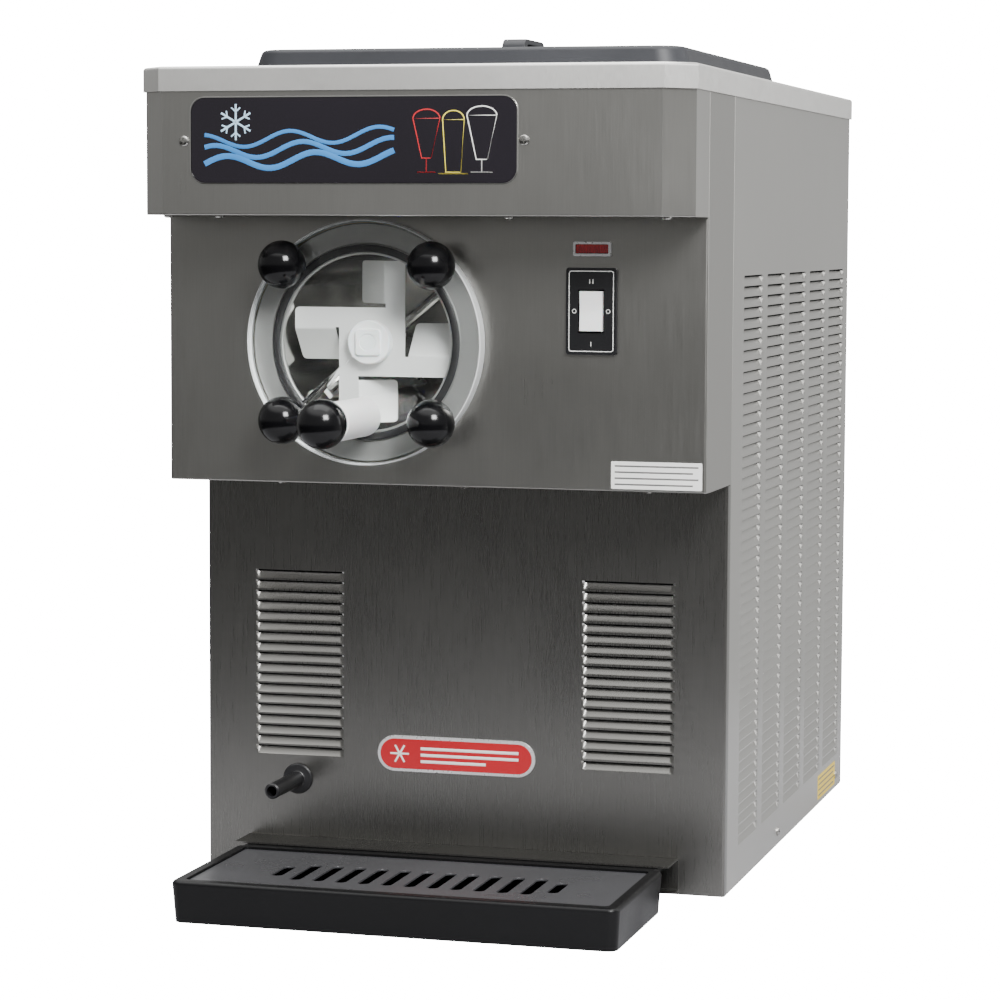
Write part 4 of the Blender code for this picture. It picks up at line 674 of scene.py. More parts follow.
def bankedPanel(name, cell, width, columns, rows, bankX, bankZ, spanX, spanZ, mirror=False):
    # local x runs along the panel and local y up it
    placed(cell, (bankX, bankZ, 0))
    obj = gridOf(cell, width, columns, rows)
    right, top = bankX + width * columns, bankZ + louvre["pitch"] * rows
    if not mirror:
        extendTo(obj, 0, bankX, spanX[0])
    if not near(right, spanX[1]):
        extendTo(obj, 0, right, spanX[1])
    extendTo(obj, 1, bankZ, spanZ[0])
    extendTo(obj, 1, top, spanZ[1])
    if mirror:
        modify(obj, "MIRROR", use_axis=(True, False, False), merge_threshold=weld)
    obj.name = name
    return obj


# side panels: a folded sheet with five columns of pressed louvres
sidePanel = {"cell": 92.8 * mm, "start": 31.6 * mm, "rows": 54, "bottom": 37.5 * mm, "flange": 9 * mm}
sideLength = sideHigh.y - sideLow.y
cell = louvreCell("sideCell", sidePanel["cell"], 9.4 * mm, 83.4 * mm)
side = bankedPanel(
    "rightSide", cell, sidePanel["cell"], 5, sidePanel["rows"], sidePanel["start"], sidePanel["bottom"],
    (0, sideLength), (sideLow.z, sideHigh.z),
)
pullEdges(side, edgesAt(x=0), (0, 0, -sidePanel["flange"]))
pullEdges(side, edgesAt(x=sideLength), (0, 0, -sidePanel["flange"]))
sideFolds = [edgesAt(x=end, z=0) for end in (0, sideLength)]
roundEdges(side, lambda a, b: any(fold(a, b) for fold in sideFolds), 1.5 * mm, 3)
tidyNormals(side)
leftSide = copyOf(side, "leftSide")
for obj in (side, leftSide):
    pick(obj, "FACE", lambda c, n: True)
    bpy.ops.mesh.normals_make_consistent(inside=False)
    done(obj)
flipped = sum(p.normal.z for p in side.data.polygons) < 0
for obj in (side, leftSide):
    if flipped:
        flipAll(obj)
    modify(obj, "SOLIDIFY", thickness=sheetThickness, offset=-1)
placed(side, (sideHigh.x, sideLow.y, 0), sideTurn)
leftSide.scale = (1, 1, -1)
placed(leftSide, (-sideHigh.x, sideLow.y, 0), sideTurn)
tidyNormals(leftSide)
finishPiece(side, litLouvreSheet, "cabinet", ["right_side_panel"], 30)
finishPiece(leftSide, litLouvreSheet, "cabinet", ["left_side_panel"], 30)
print("side panels made")


def makeFrontSheet(name, low, high, bankBottom, rows, inward):
    # a sheet across the cabinet with two banks of louvres, seen from outside along -Z
    half = high.x
    obj = louvreCell(name + "Cell", half, 95 * mm, 167 * mm)
    obj = bankedPanel(name, obj, half, 1, rows, 0, bankBottom, (0, half), (low.z, high.z), mirror=True)
    if inward:
        for end in (-half, half):
            pullEdges(obj, edgesAt(x=end, z=0), (0, 0, -inward))
            roundEdges(obj, edgesAt(x=end, z=0), 2 * mm, 3)
    tidyNormals(obj)
    if sum(p.normal.z for p in obj.data.polygons) < 0:
        flipAll(obj)
    return modify(obj, "SOLIDIFY", thickness=sheetThickness, offset=-1)


# lower front panel, wrapped round the corners to the seam with the side panels
frontPanel = makeFrontSheet("frontPanel", panelLow, panelHigh, 99 * mm, 18, 9.2 * mm)
placed(frontPanel, (0, panelLow.y, 0), frontTurn)
drain = {"x": -132.5 * mm, "z": 81 * mm}
cutBy(frontPanel, addCylinder("drainCut", (drain["x"], panelLow.y, drain["z"]), 6.4 * mm, 20 * mm, "Y", 32))
finishPiece(frontPanel, frontSheetShadeAndGlint, "cabinet", ["lower_front_panel"], 30)

# rear panel with the same banks
rearPanel = makeFrontSheet("rearPanel", rearLow, rearHigh, 99 * mm, 30, 0)
placed(rearPanel, (0, rearHigh.y, 0), rearTurn)
glandLow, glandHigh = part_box("cord_gland")
glandAt = (halfway(glandLow.x, glandHigh.x), rearHigh.y, halfway(glandLow.z, glandHigh.z))
cutBy(rearPanel, addCylinder("glandCut", glandAt, 8.6 * mm, 20 * mm, "Y", 32))
finishPiece(rearPanel, litLouvreSheet, "cabinet", ["rear_panel"], 30)
print("front and rear panels made")

# black sheets behind the louvres, painted shade that keeps the slots dark
shadeSheet = {"gap": 6.2 * mm, "thick": 0.5 * mm}
shadeSheetPlaces = [
    ("frontShadeSheetLeft", (-172, 94), (-90, 250), "front"),
    ("frontShadeSheetRight", (90, 94), (172, 250), "front"),
    ("rearShadeSheetLeft", (-172, 94), (-90, 348), "rear"),
    ("rearShadeSheetRight", (90, 94), (172, 348), "rear"),
    ("rightShadeSheet", (-122, 33), (326, 480), "right"),
    ("leftShadeSheet", (-122, 33), (326, 480), "left"),
]
for name, low, high, place in shadeSheetPlaces:
    a, b = shadeSheet["gap"], shadeSheet["gap"] + shadeSheet["thick"]
    lowU, lowV, highU, highV = (v * mm for v in low + high)
    spots = {
        "front": ((lowU, panelLow.y + a, lowV), (highU, panelLow.y + b, highV)),
        "rear": ((lowU, rearHigh.y - b, lowV), (highU, rearHigh.y - a, highV)),
        "right": ((sideHigh.x - b, lowU, lowV), (sideHigh.x - a, highU, highV)),
        "left": ((-sideHigh.x + a, lowU, lowV), (-sideHigh.x + b, highU, highV)),
    }
    finishPiece(addBox(name, *spots[place]), shadeSheetBlack, "cabinet")


def foldedBox(name, low, high, corner, segments):
    # sheet folded round the front and under it, open behind and above
    obj = addBox(name, low, high)
    roundEdges(obj, lambda a, b: vertical(a, b) and near(a.y, low.y), corner, segments)
    under = edgesAt(z=low.z)
    roundEdges(obj, lambda a, b: under(a, b) and max(a.y, b.y) < high.y - mm, 1.2 * mm, 3)
    dropFaces(obj, lambda c, n: n.y > 0.9 or n.z > 0.9)
    return modify(obj, "SOLIDIFY", thickness=sheetThickness, offset=-1)


# upper front panel: a folded box that carries the barrel, switch and lamp
upperPanel = foldedBox("upperPanel", upperLow, upperHigh, 2 * mm, 4)
barrelX, barrelZ = halfway(doorLow.x, doorHigh.x), halfway(doorLow.z, doorHigh.z)
switchLow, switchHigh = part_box("switch_plate")
lampLow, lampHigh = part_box("indicator_lamp")
switchX = halfway(switchLow.x, switchHigh.x)
switchZ = halfway(switchLow.z, switchHigh.z)
lampZ = halfway(lampLow.z, lampHigh.z)
upper = {"barrel": 88.5 * mm, "switch": (12.5 * mm, 19.5 * mm), "lamp": (11.5 * mm, 4 * mm), "reach": 5 * mm}
cutBy(
    upperPanel,
    addCylinder("barrelCut", (barrelX, upperLow.y, barrelZ), upper["barrel"], 20 * mm, "Y", 96),
)
for name, (halfX, halfZ), z in (("switchCut", upper["switch"], switchZ), ("lampCut", upper["lamp"], lampZ)):
    low = (switchX - halfX, upperLow.y - upper["reach"], z - halfZ)
    cutBy(upperPanel, addBox(name, low, (switchX + halfX, upperLow.y + upper["reach"], z + halfZ)))
finishPiece(upperPanel, shadedUpperSheet, "cabinet", ["upper_front_panel"])

# sign header with 20 mm chamfers and the lens window
lensLow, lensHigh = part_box("sign_lens")
lensX, lensZ = halfway(lensLow.x, lensHigh.x), halfway(lensLow.z, lensHigh.z)
header = {"chamfer": 20 * mm, "window": (246 * mm, 62 * mm, 10.5 * mm)}
headerBox = foldedBox("header", headerLow, headerHigh, header["chamfer"], 1)
windowCut = frontPlate("windowCut", header["window"], 12 * mm, (lensX, headerLow.y + 6 * mm, lensZ))
cutBy(headerBox, windowCut)
finishPiece(headerBox, brushedSteel, "cabinet", ["header_fascia"])

# top cap: a lid sheet with a skirt, rounded along its fold, open for the hopper
hopperLow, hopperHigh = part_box("hopper")
topCap = addBox("topCap", capLow, capHigh)
roundEdges(topCap, lambda a, b: vertical(a, b) and near(a.y, capLow.y), header["chamfer"], 1)
roundEdges(topCap, edgesAt(z=capHigh.z), 2.5 * mm, 4)
dropFaces(topCap, lambda c, n: n.z < -0.9)
modify(topCap, "SOLIDIFY", thickness=sheetThickness, offset=-1)
hopperY = halfway(hopperLow.y, hopperHigh.y)
openingCut = slab(
    "openingCut", roundedOutline(hopperHigh.x * 2 - 9 * mm, hopperHigh.y - hopperLow.y - 9 * mm, 20 * mm),
    20 * mm, (0, hopperY, capHigh.z - 10 * mm),
)
cutBy(topCap, openingCut)
finishPiece(topCap, litCapSheet, "cabinet", ["top_cap"])
print("upper panels made")

# pan head screws with a cross recess, modelled once
screw = {"radius": 3.7 * mm, "height": 2.1 * mm, "slot": 0.9 * mm, "reach": 2.3 * mm}
screwHead = turned(
    "screwHead",
    [
        (0, screw["height"]), (1.6 * mm, screw["height"]), (2.9 * mm, screw["height"] * 0.82),
        (screw["radius"], screw["height"] * 0.42), (screw["radius"], 0), (2.0 * mm, 0), (2.0 * mm, -mm),
        (0, -mm),
    ],
    (0, 0, 0), sides=28,
)
for size in ((screw["reach"], screw["slot"] / 2), (screw["slot"] / 2, screw["reach"])):
    cutBy(
        screwHead,
        addBox("crossCut", (-size[0], -size[1], screw["height"] - 1.1 * mm), (size[0], size[1], 5 * mm)),
    )
screwPlaces = [
    ("headerScrewLeft", (-169 * mm, headerLow.y, 571 * mm), frontTurn),
    ("headerScrewRight", (87 * mm, headerLow.y, 571 * mm), frontTurn),
    ("sideScrewFront", (sideHigh.x, 47 * mm, 19 * mm), sideTurn),
    ("sideScrewRear", (sideHigh.x, 323 * mm, 20 * mm), sideTurn),
    ("upperScrewLeft", (-122 * mm, upperLow.y + 15 * mm, upperLow.z), underTurn),
    ("upperScrewMiddle", (20 * mm, upperLow.y + 15 * mm, upperLow.z), underTurn),
    ("upperScrewRight", (160 * mm, upperLow.y + 15 * mm, upperLow.z), underTurn),
    ("headerScrewUnder1", (-190 * mm, headerLow.y + 22 * mm, headerLow.z), underTurn),
    ("headerScrewUnder2", (-150 * mm, headerLow.y + 22 * mm, headerLow.z), underTurn),
    ("headerScrewUnder3", (70 * mm, headerLow.y + 22 * mm, headerLow.z), underTurn),
    ("headerScrewUnder4", (185 * mm, headerLow.y + 22 * mm, headerLow.z), underTurn),
    ("leftScrewFront", (-sideHigh.x, 47 * mm, 19 * mm), leftTurn),
    ("leftScrewRear", (-sideHigh.x, 323 * mm, 20 * mm), leftTurn),
    ("rearScrew1", (-190 * mm, rearHigh.y, 30 * mm), rearTurn),
    ("rearScrew2", (190 * mm, rearHigh.y, 30 * mm), rearTurn),
    ("rearScrew3", (-190 * mm, rearHigh.y, 595 * mm), rearTurn),
    ("rearScrew4", (190 * mm, rearHigh.y, 595 * mm), rearTurn),
]
for name, at, turn in screwPlaces:
    head = copyOf(screwHead, name, at, turn)
    finishPiece(head, screwSteel, "cabinet", angle=30)
bpy.data.objects.remove(screwHead)
print("screws made")

# hopper lid: a moulded black cover with a strap grip
lidLow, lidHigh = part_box("hopper_lid")
lid = {"height": 19.5 * mm, "corner": 22 * mm, "draft": 5 * mm, "wall": 2.5 * mm}
lidTop = lidLow.z + lid["height"]
lidY = halfway(lidLow.y, lidHigh.y)
lidShell = addBox("lid", lidLow, (lidHigh.x, lidHigh.y, lidTop))
roundEdges(lidShell, vertical, lid["corner"], 8)
widthShare = 1 - 2 * lid["draft"] / (lidHigh.x - lidLow.x)
stretch(lidShell, lambda p: near(p.z, lidTop), (widthShare, widthShare, 1), (0, lidY, lidTop))
roundEdges(lidShell, edgesAt(z=lidTop), 3.5 * mm, 4)
dropFaces(lidShell, lambda c, n: n.z < -0.9)
tidyNormals(lidShell)
modify(lidShell, "SOLIDIFY", thickness=lid["wall"], offset=-1)
grip = {"length": 64 * mm, "width": 19 * mm, "rise": 14.5 * mm, "strap": 4.5 * mm, "foot": 8 * mm}
gripY = lidY - 10 * mm
gripHalf = grip["length"] / 2
gripOutline = (
    [(-gripHalf, -0.5 * mm)]
    + arcPoints(-gripHalf + 9 * mm, grip["rise"] - 9 * mm, 9 * mm, 180, 90, 6)
    + arcPoints(gripHalf - 9 * mm, grip["rise"] - 9 * mm, 9 * mm, 90, 0, 6)
    + [(gripHalf, -0.5 * mm), (gripHalf - grip["foot"], -0.5 * mm)]
    + arcPoints(gripHalf - 13 * mm, grip["rise"] - grip["strap"] - 5 * mm, 5 * mm, 0, 90, 5)
    + arcPoints(-gripHalf + 13 * mm, grip["rise"] - grip["strap"] - 5 * mm, 5 * mm, 90, 180, 5)
    + [(-gripHalf + grip["foot"], -0.5 * mm)]
)
strap = slab("lidStrap", gripOutline, grip["width"], (-grip["width"] / 2, gripY, lidTop), sideTurn)
roundEdges(
    strap,
    lambda a, b: near(a.x, b.x) and near(abs(a.x), grip["width"] / 2) and max(a.z, b.z) > lidTop + mm,
    0.9 * mm, 2,
)
lidPiece = joined("lid", lidShell, strap)
finishPiece(lidPiece, lidPlasticSheen, "lid", ["hopper_lid"])
print("lid made")

# Cast acrylic sheet, polished on its faces; the turned rim is left satin
clearAcrylic = makeClear(
    "clearCastAcrylic", rough=(0.0, 0.025), patches=18.0, centre=(barrelX, 0, barrelZ), rim=89.4 * mm,
    rimRough=0.3, rimPass=0.35,
)

# door: a turned acrylic disc with holes for the studs and the spigot
studReach = 57.3 * mm
doorDepth = doorHigh.y - doorLow.y
doorDisc = {"radius": 90.5 * mm, "edge": 1.3 * mm}
radius, edge = doorDisc["radius"], doorDisc["edge"]
door = turned(
    "doorDisc",
    [
        (0, doorDepth), (radius - edge, doorDepth), (radius - 0.3 * edge, doorDepth - 0.3 * edge),
        (radius, doorDepth - edge), (radius, edge), (radius - 0.3 * edge, 0.3 * edge), (radius - edge, 0),
        (0, 0),
    ],
    (barrelX, doorHigh.y, barrelZ), frontTurn, 96,
)
studPlaces = [(barrelX + sx * studReach, barrelZ + sz * studReach) for sz in (1, -1) for sx in (-1, 1)]
spigotZ = barrelZ - 54.5 * mm
for x, z in studPlaces:
    cutBy(door, addCylinder("studCut", (x, doorLow.y, z), 4.4 * mm, 60 * mm, "Y", 32))
cutBy(door, addCylinder("passageCut", (barrelX, doorLow.y, spigotZ), 10.5 * mm, 60 * mm, "Y", 40))
finishPiece(door, clearAcrylic, "door", ["door_plate"])

sealLow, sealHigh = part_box("door_seal")
deselectAll()
bpy.ops.mesh.primitive_torus_add(
    major_radius=69.5 * mm, minor_radius=2.8 * mm, major_segments=96, minor_segments=14,
    location=(barrelX, 0, barrelZ), rotation=frontTurn,
)
seal = started("doorSealRing")
sealShare = (sealHigh.y - sealLow.y) / (5.6 * mm)
stretch(seal, lambda p: True, (1, sealShare, 1), (barrelX, 0, barrelZ))
move(seal, lambda p: True, (0, halfway(sealLow.y, sealHigh.y), 0))
finishPiece(seal, blackRubber, "door", ["door_seal"])

# freezing barrel: a rolled tube with a flange, seen through the door
barrelLow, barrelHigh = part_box("freezing_barrel")
barrelDepth = barrelHigh.y - barrelLow.y
barrel = turned(
    "barrelTube",
    [
        (8.5 * mm, 2 * mm), (65 * mm, 2 * mm), (65 * mm, barrelDepth - 4 * mm),
        (67 * mm, barrelDepth - 4 * mm), (67 * mm, 0), (8.5 * mm, 0), (8.5 * mm, 2 * mm),
    ],
    (barrelX, barrelHigh.y, barrelZ), frontTurn, 96,
)
inletY = 14.85 * mm  # the feed tube comes down here
cutBy(barrel, addCylinder("inletCut", (barrelX, inletY, barrelZ + 66 * mm), 11 * mm, 20 * mm, "Z", 32))
finishPiece(barrel, polishedSteel, "cabinet", ["freezing_barrel"])
flange = turned(
    "barrelFlange",
    [
        (65 * mm, -0.2 * mm), (65 * mm, 3.2 * mm), (65.8 * mm, 4 * mm), (72.4 * mm, 4 * mm),
        (72.9 * mm, 3.4 * mm), (73.4 * mm, 4 * mm), (87.2 * mm, 4 * mm), (88 * mm, 3.2 * mm),
        (88 * mm, 0), (67 * mm, 0), (67 * mm, -0.2 * mm), (65 * mm, -0.2 * mm),
    ],
    (barrelX, barrelLow.y + 4 * mm, barrelZ), frontTurn, 96,
)
finishPiece(flange, satinSteel, "cabinet")


def ballProfile(radius, steps, back):
    # from the front pole round to the flat at back
    points = [(0, radius)]
    for step in range(1, steps + 1):
        angle = math.radians(90 - step * 6)
        points.append((radius * math.cos(angle), radius * math.sin(angle)))
    return [p for p in points if p[1] > back]


# knobs: turned balls on a knurled collar
knob = {"radius": 17.7 * mm, "front": 17.58 * mm, "collar": 9.5 * mm, "bore": 4.3 * mm, "foot": 3.2 * mm}
for n, (x, z) in enumerate(studPlaces, 1):
    knobLow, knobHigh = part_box(f"door_knob_{n}")
    centreY = knobLow.y + knob["front"]
    back = -(knobHigh.y - centreY) + knob["foot"]
    ball = ballProfile(knob["radius"], 24, back)
    ball += [(knob["collar"], back), (knob["bore"], back), (knob["bore"], -mm), (0, -mm)]
    sphere = turned(f"ballKnob{n}", ball, (x, centreY, z), frontTurn, 56)
    collar = turned(
        f"knobCollar{n}",
        [
            (knob["bore"], 3.4 * mm), (knob["collar"] - 0.4 * mm, 3.4 * mm),
            (knob["collar"] + 0.6 * mm, 2.8 * mm), (knob["collar"] + 0.6 * mm, 0.4 * mm),
            (knob["collar"], 0), (knob["bore"], 0), (knob["bore"], 3.4 * mm),
        ],
        (x, knobHigh.y, z), frontTurn, 72,
    )
    middle = Vector((x, knobHigh.y, z))

    def betweenTeeth(p):
        # one tooth in every ten degrees
        angle = math.degrees(math.atan2(p.z - z, p.x - x)) % 10
        return (angle < 2.6 or angle > 7.4) and math.hypot(p.x - x, p.z - z) > knob["collar"]

    stretch(collar, betweenTeeth, (0.94, 1, 0.94), middle)
    sphere = joined(f"ballKnob{n}", sphere, collar)
    finishPiece(sphere, blackBall, f"knob_{n}", [f"door_knob_{n}"])
print("door and knobs made")

# white spigot body, bored, with its outlet underneath, and its ball
spigotLow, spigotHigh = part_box("spigot_body")
spigotLength = spigotHigh.y - spigotLow.y
spigot = turned(
    "spigot",
    [
        (10.5 * mm, spigotLength), (13.4 * mm, spigotLength), (14.2 * mm, spigotLength - 0.3 * mm),
        (14.5 * mm, spigotLength - 1.2 * mm), (14.5 * mm, 0.4 * mm), (14.2 * mm, 0), (10.5 * mm, 0),
        (10.5 * mm, spigotLength),
    ],
    (barrelX, spigotHigh.y, spigotZ), frontTurn, 64,
)
outletY = doorLow.y - 18 * mm
cutBy(spigot, addCylinder("outletCut", (barrelX, outletY, spigotZ - 14.5 * mm), 8 * mm, 16 * mm, "Z", 40))
finishPiece(spigot, whiteAcetal, "door", ["spigot_body"])
pullLow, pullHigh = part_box("valve_knob")
pullRadius = 18 * mm
pullY = pullLow.y + pullRadius
pullBack = -(pullHigh.y - pullY)
pullProfile = ballProfile(pullRadius, 27, pullBack)
pullProfile += [(7.2 * mm, pullBack), (5.6 * mm, pullBack), (5.6 * mm, 3 * mm), (0, 3 * mm)]
pullBall = turned("valveBall", pullProfile, (barrelX, pullY, spigotZ), frontTurn, 56)
finishPiece(pullBall, blackBall, "valve", ["valve_knob"])
stemLow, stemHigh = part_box("valve_plunger")
stemLength = stemHigh.y - stemLow.y
stem = turned(
    "valveStem",
    [
        (0, stemLength), (5 * mm, stemLength), (5 * mm, 32 * mm), (9.4 * mm, 32 * mm),
        (10 * mm, 31.4 * mm), (10 * mm, 22 * mm), (9.2 * mm, 21.6 * mm), (9.2 * mm, 19.4 * mm),
        (10 * mm, 19 * mm), (10 * mm, 0.5 * mm), (9.5 * mm, 0), (0, 0),
    ],
    (barrelX, stemHigh.y, spigotZ), frontTurn, 40,
)
finishPiece(stem, whiteAcetal, "valve", ["valve_plunger"])

# black drain spout
spoutLow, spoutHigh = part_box("drain_spout")
spoutReach = panelLow.y - spoutLow.y
spout = turned(
    "drainSpout",
    [
        (4 * mm, spoutReach), (5 * mm, spoutReach), (6 * mm, spoutReach - mm), (6 * mm, 3.4 * mm),
        (7 * mm, 2.6 * mm), (11 * mm, 2.0 * mm), (12 * mm, mm), (12 * mm, 0.5 * mm), (5.9 * mm, 0.5 * mm),
        (5.9 * mm, -(spoutHigh.y - panelLow.y)), (4 * mm, -(spoutHigh.y - panelLow.y)),
        (4 * mm, spoutReach),
    ],
    (drain["x"], panelLow.y, drain["z"]), frontTurn, 40,
)
finishPiece(spout, smoothBlack, "cabinet", ["drain_spout"])
print("spigot and drain made")

# beater: a pressed and bent plate, a white bearing and two scrapers
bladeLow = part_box("beater_blades")[0]
blade = {
    "offset": 10.7 * mm, "arm": 25.5 * mm, "reach": 60 * mm, "tab": 31.5 * mm, "start": 28.5 * mm,
    "sheet": 1.6 * mm, "bend": math.radians(40),
}
bladeY = bladeLow.y + blade["sheet"] / 2
half = blade["sheet"] / 2
arms = []
for n in range(4):
    arm = addBox(
        f"bladeArm{n}", (blade["offset"], -half, blade["arm"]), (blade["arm"], half, blade["reach"]),
    )
    splitAt(arm, (0, 0, blade["start"]), (0, 0, 1))
    # the tab bends in three short steps and then runs straight
    short, steps = 0.8 * mm, 3
    pulls = [(blade["bend"] * ((step + 0.5) / steps), short) for step in range(steps)]
    for angle, length in pulls + [(blade["bend"], blade["tab"] - steps * short)]:
        edgeX = min(v.co.x for v in arm.data.vertices)
        pull(
            arm, lambda c, n: abs(c.x - edgeX) < 1.2 * mm and n.x < -0.7 and c.z > blade["start"],
            (-length * math.cos(angle), length * math.sin(angle), 0),
        )
    roundEdges(arm, edgesAt(x=blade["arm"], z=blade["reach"]), 3 * mm, 2)
    farX = min(v.co.x for v in arm.data.vertices)
    roundEdges(
        arm, lambda a, b: abs(a.x - farX) < 1.5 * mm and abs(b.x - farX) < 1.5 * mm and near(a.z, b.z),
        2.5 * mm, 2,
    )
    placed(arm, (0, 0, 0), (0, n * quarter, 0))
    arms.append(arm)
hubPlate = addBox("bladePlate", (-blade["arm"], -half, -blade["arm"]), (blade["arm"], half, blade["arm"]))
cutBy(hubPlate, addCylinder("plateCut", (0, 0, 0), 7 * mm, 10 * mm, "Y", 32))
blades = joined("beaterPlate", hubPlate, *arms)
placed(blades, (barrelX, bladeY, barrelZ))
finishPiece(blades, litBeaterSheet, "beater", ["beater_blades"])

hubLow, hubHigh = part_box("beater_hub")
hubDepth = hubHigh.y - hubLow.y
hub = turned(
    "bearingDisc",
    [
        (0, hubDepth - 2 * mm), (15.6 * mm, hubDepth - 2 * mm), (16.4 * mm, hubDepth - 2.8 * mm),
        (16.4 * mm, 0), (0, 0),
    ],
    (barrelX, hubHigh.y, barrelZ), frontTurn, 56,
)
nut = frontPlate(
    "bearingNut", (20 * mm, 20 * mm, 3.5 * mm), 2.6 * mm, (barrelX, hubLow.y + 2.6 * mm, barrelZ),
)
roundEdges(nut, edgesAt(y=hubLow.y), 1.1 * mm, 3)
cutBy(nut, addCylinder("nutCut", (barrelX, hubLow.y, barrelZ), 6.6 * mm, 1.8 * mm, "Y", 40))
centre = addCylinder("nutCentre", (barrelX, hubLow.y + 1.2 * mm, barrelZ), 5.6 * mm, 1.6 * mm, "Y", 40)
roundEdges(centre, lambda a, b: a.y < hubLow.y + 0.6 * mm and b.y < hubLow.y + 0.6 * mm, 0.5 * mm, 2)
nut = joined("bearingNut", nut, centre)
hub = joined("bearing", hub, nut)
finishPiece(hub, whiteAcetal, "beater", ["beater_hub"])

scraper = {"angle": 40, "inner": 57.5 * mm, "outer": 61.5 * mm, "width": 14 * mm}
scraperLow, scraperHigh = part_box("scraper_1")
for n, turn in ((1, scraper["angle"]), (2, scraper["angle"] + 180)):
    bar = addBox(
        f"scraperBar{n}", (scraper["inner"], scraperLow.y, -scraper["width"] / 2),
        (scraper["outer"], scraperHigh.y, scraper["width"] / 2),
    )
    roundEdges(bar, edgesAt(x=scraper["outer"]), 1.4 * mm, 2)
    roundEdges(bar, edgesAt(y=scraperLow.y), 0.6 * mm, 2)
    placed(bar, (barrelX, 0, barrelZ), (0, -math.radians(turn), 0))
    finishPiece(bar, whiteAcetal, "beater", [f"scraper_{n}"])
print("beater made")

# drip tray, grid and the channel that holds them
trayLow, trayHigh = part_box("drip_tray")
gridLow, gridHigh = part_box("drip_grid")
trayTop = 34 * mm
trayRear = panelLow.y - 36.5 * mm
trayY = (trayLow.y + trayRear) / 2
tray = {"corner": 8 * mm, "fillet": 3.2 * mm, "rim": 9 * mm, "wall": 3 * mm}
trayBody = addBox("dripTray", trayLow, (trayHigh.x, trayRear, trayTop))
roundEdges(trayBody, vertical, tray["corner"], 6)
stretch(trayBody, lambda p: near(p.z, trayLow.z), (0.988, 0.972, 1), (0, trayY, trayLow.z))
roundEdges(trayBody, edgesAt(z=trayTop), tray["fillet"], 4)
rim = tray["rim"]
seatCut = slab(
    "seatCut", roundedOutline(trayHigh.x * 2 - 2 * rim, trayRear - trayLow.y - 2 * rim, 4 * mm), 20 * mm,
    (0, trayY, gridLow.z - 0.5 * mm),
)
wellCut = slab(
    "wellCut", roundedOutline(trayHigh.x * 2 - 24 * mm, trayRear - trayLow.y - 24 * mm, 4 * mm), 40 * mm,
    (0, trayY, trayLow.z + tray["wall"]),
)
cutBy(trayBody, seatCut, wellCut)
tongueTop = trayHigh.z
tongue = addBox(
    "trayTongue", (trayLow.x + 6 * mm, trayRear - 6 * mm, tongueTop - 5 * mm),
    (trayHigh.x - 6 * mm, trayHigh.y, tongueTop),
)
roundEdges(tongue, edgesAt(z=tongueTop), 0.8 * mm, 2)
trayPiece = joined("dripTray", trayBody, tongue)
finishPiece(trayPiece, grainedBlack, "tray", ["drip_tray"])

gridPlate = {"slots": 13, "pitch": 17.6 * mm, "width": 8.6 * mm, "length": 56 * mm, "end": 36 * mm}
gridY = halfway(gridLow.y, gridHigh.y)
grate = slab(
    "dripGrid", roundedOutline(gridHigh.x * 2, gridHigh.y - gridLow.y, 3.5 * mm), gridHigh.z - gridLow.z,
    (0, gridY, gridLow.z),
)
roundEdges(grate, edgesAt(z=gridHigh.z), 0.7 * mm, 2)
dish = slab(
    "dishCut", roundedOutline(gridHigh.x * 2 - 50 * mm, gridHigh.y - gridLow.y - 38 * mm, 4 * mm), 3 * mm,
    (0, gridY, gridHigh.z - 1.5 * mm),
)
stretch(dish, lambda p: p.z > gridHigh.z, (1.17, 1.50, 1), (0, gridY, gridHigh.z))
cutBy(grate, dish)
for n in range(gridPlate["slots"]):
    isEnd = n in (0, gridPlate["slots"] - 1)
    length = gridPlate["end"] if isEnd else gridPlate["length"]
    x = (n - (gridPlate["slots"] - 1) / 2) * gridPlate["pitch"]
    slotCut = slab(
        "slotCut", roundedOutline(gridPlate["width"], length, gridPlate["width"] / 2 - 0.05 * mm),
        20 * mm, (x, gridY, gridLow.z - 8 * mm),
    )
    cutBy(grate, slotCut)


def slotEdge(a, b):
    inSlots = max(abs(a.y - gridY), abs(b.y - gridY)) < 30 * mm and abs(a.x) < 112 * mm
    return inSlots and near(a.z, b.z) and min(a.z, b.z) > gridLow.z + mm


roundEdges(grate, slotEdge, 0.5 * mm, 2)
finishPiece(grate, gridBlackSheen, "grid", ["drip_grid"])

bracketLow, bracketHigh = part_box("tray_bracket")
channel = {"lip": 12 * mm, "fold": 1.8 * mm}
bracket = chain(
    "trayChannel",
    [
        (bracketLow.x, bracketLow.y, bracketHigh.z), (bracketLow.x, bracketHigh.y, bracketHigh.z),
        (bracketLow.x, bracketHigh.y, bracketLow.z),
        (bracketLow.x, bracketHigh.y - channel["lip"], bracketLow.z),
    ],
)
bpy.ops.mesh.select_all(action="SELECT")
bpy.ops.mesh.extrude_region_move(TRANSFORM_OT_translate={"value": (bracketHigh.x - bracketLow.x, 0, 0)})
done(bracket)
bracketRear = edgesAt(y=bracketHigh.y)
roundEdges(bracket, lambda a, b: bracketRear(a, b) and near(a.z, b.z), channel["fold"], 4)
tidyNormals(bracket)
if sum(p.normal.z for p in bracket.data.polygons if near(p.center.z, bracketHigh.z)) < 0:
    flipAll(bracket)
modify(bracket, "SOLIDIFY", thickness=sheetThickness, offset=-1)
# the channel takes the front sheet's painted shade and painted highlight
finishPiece(bracket, frontSheetShadeAndGlint, "cabinet", ["tray_bracket"])
print("tray made")

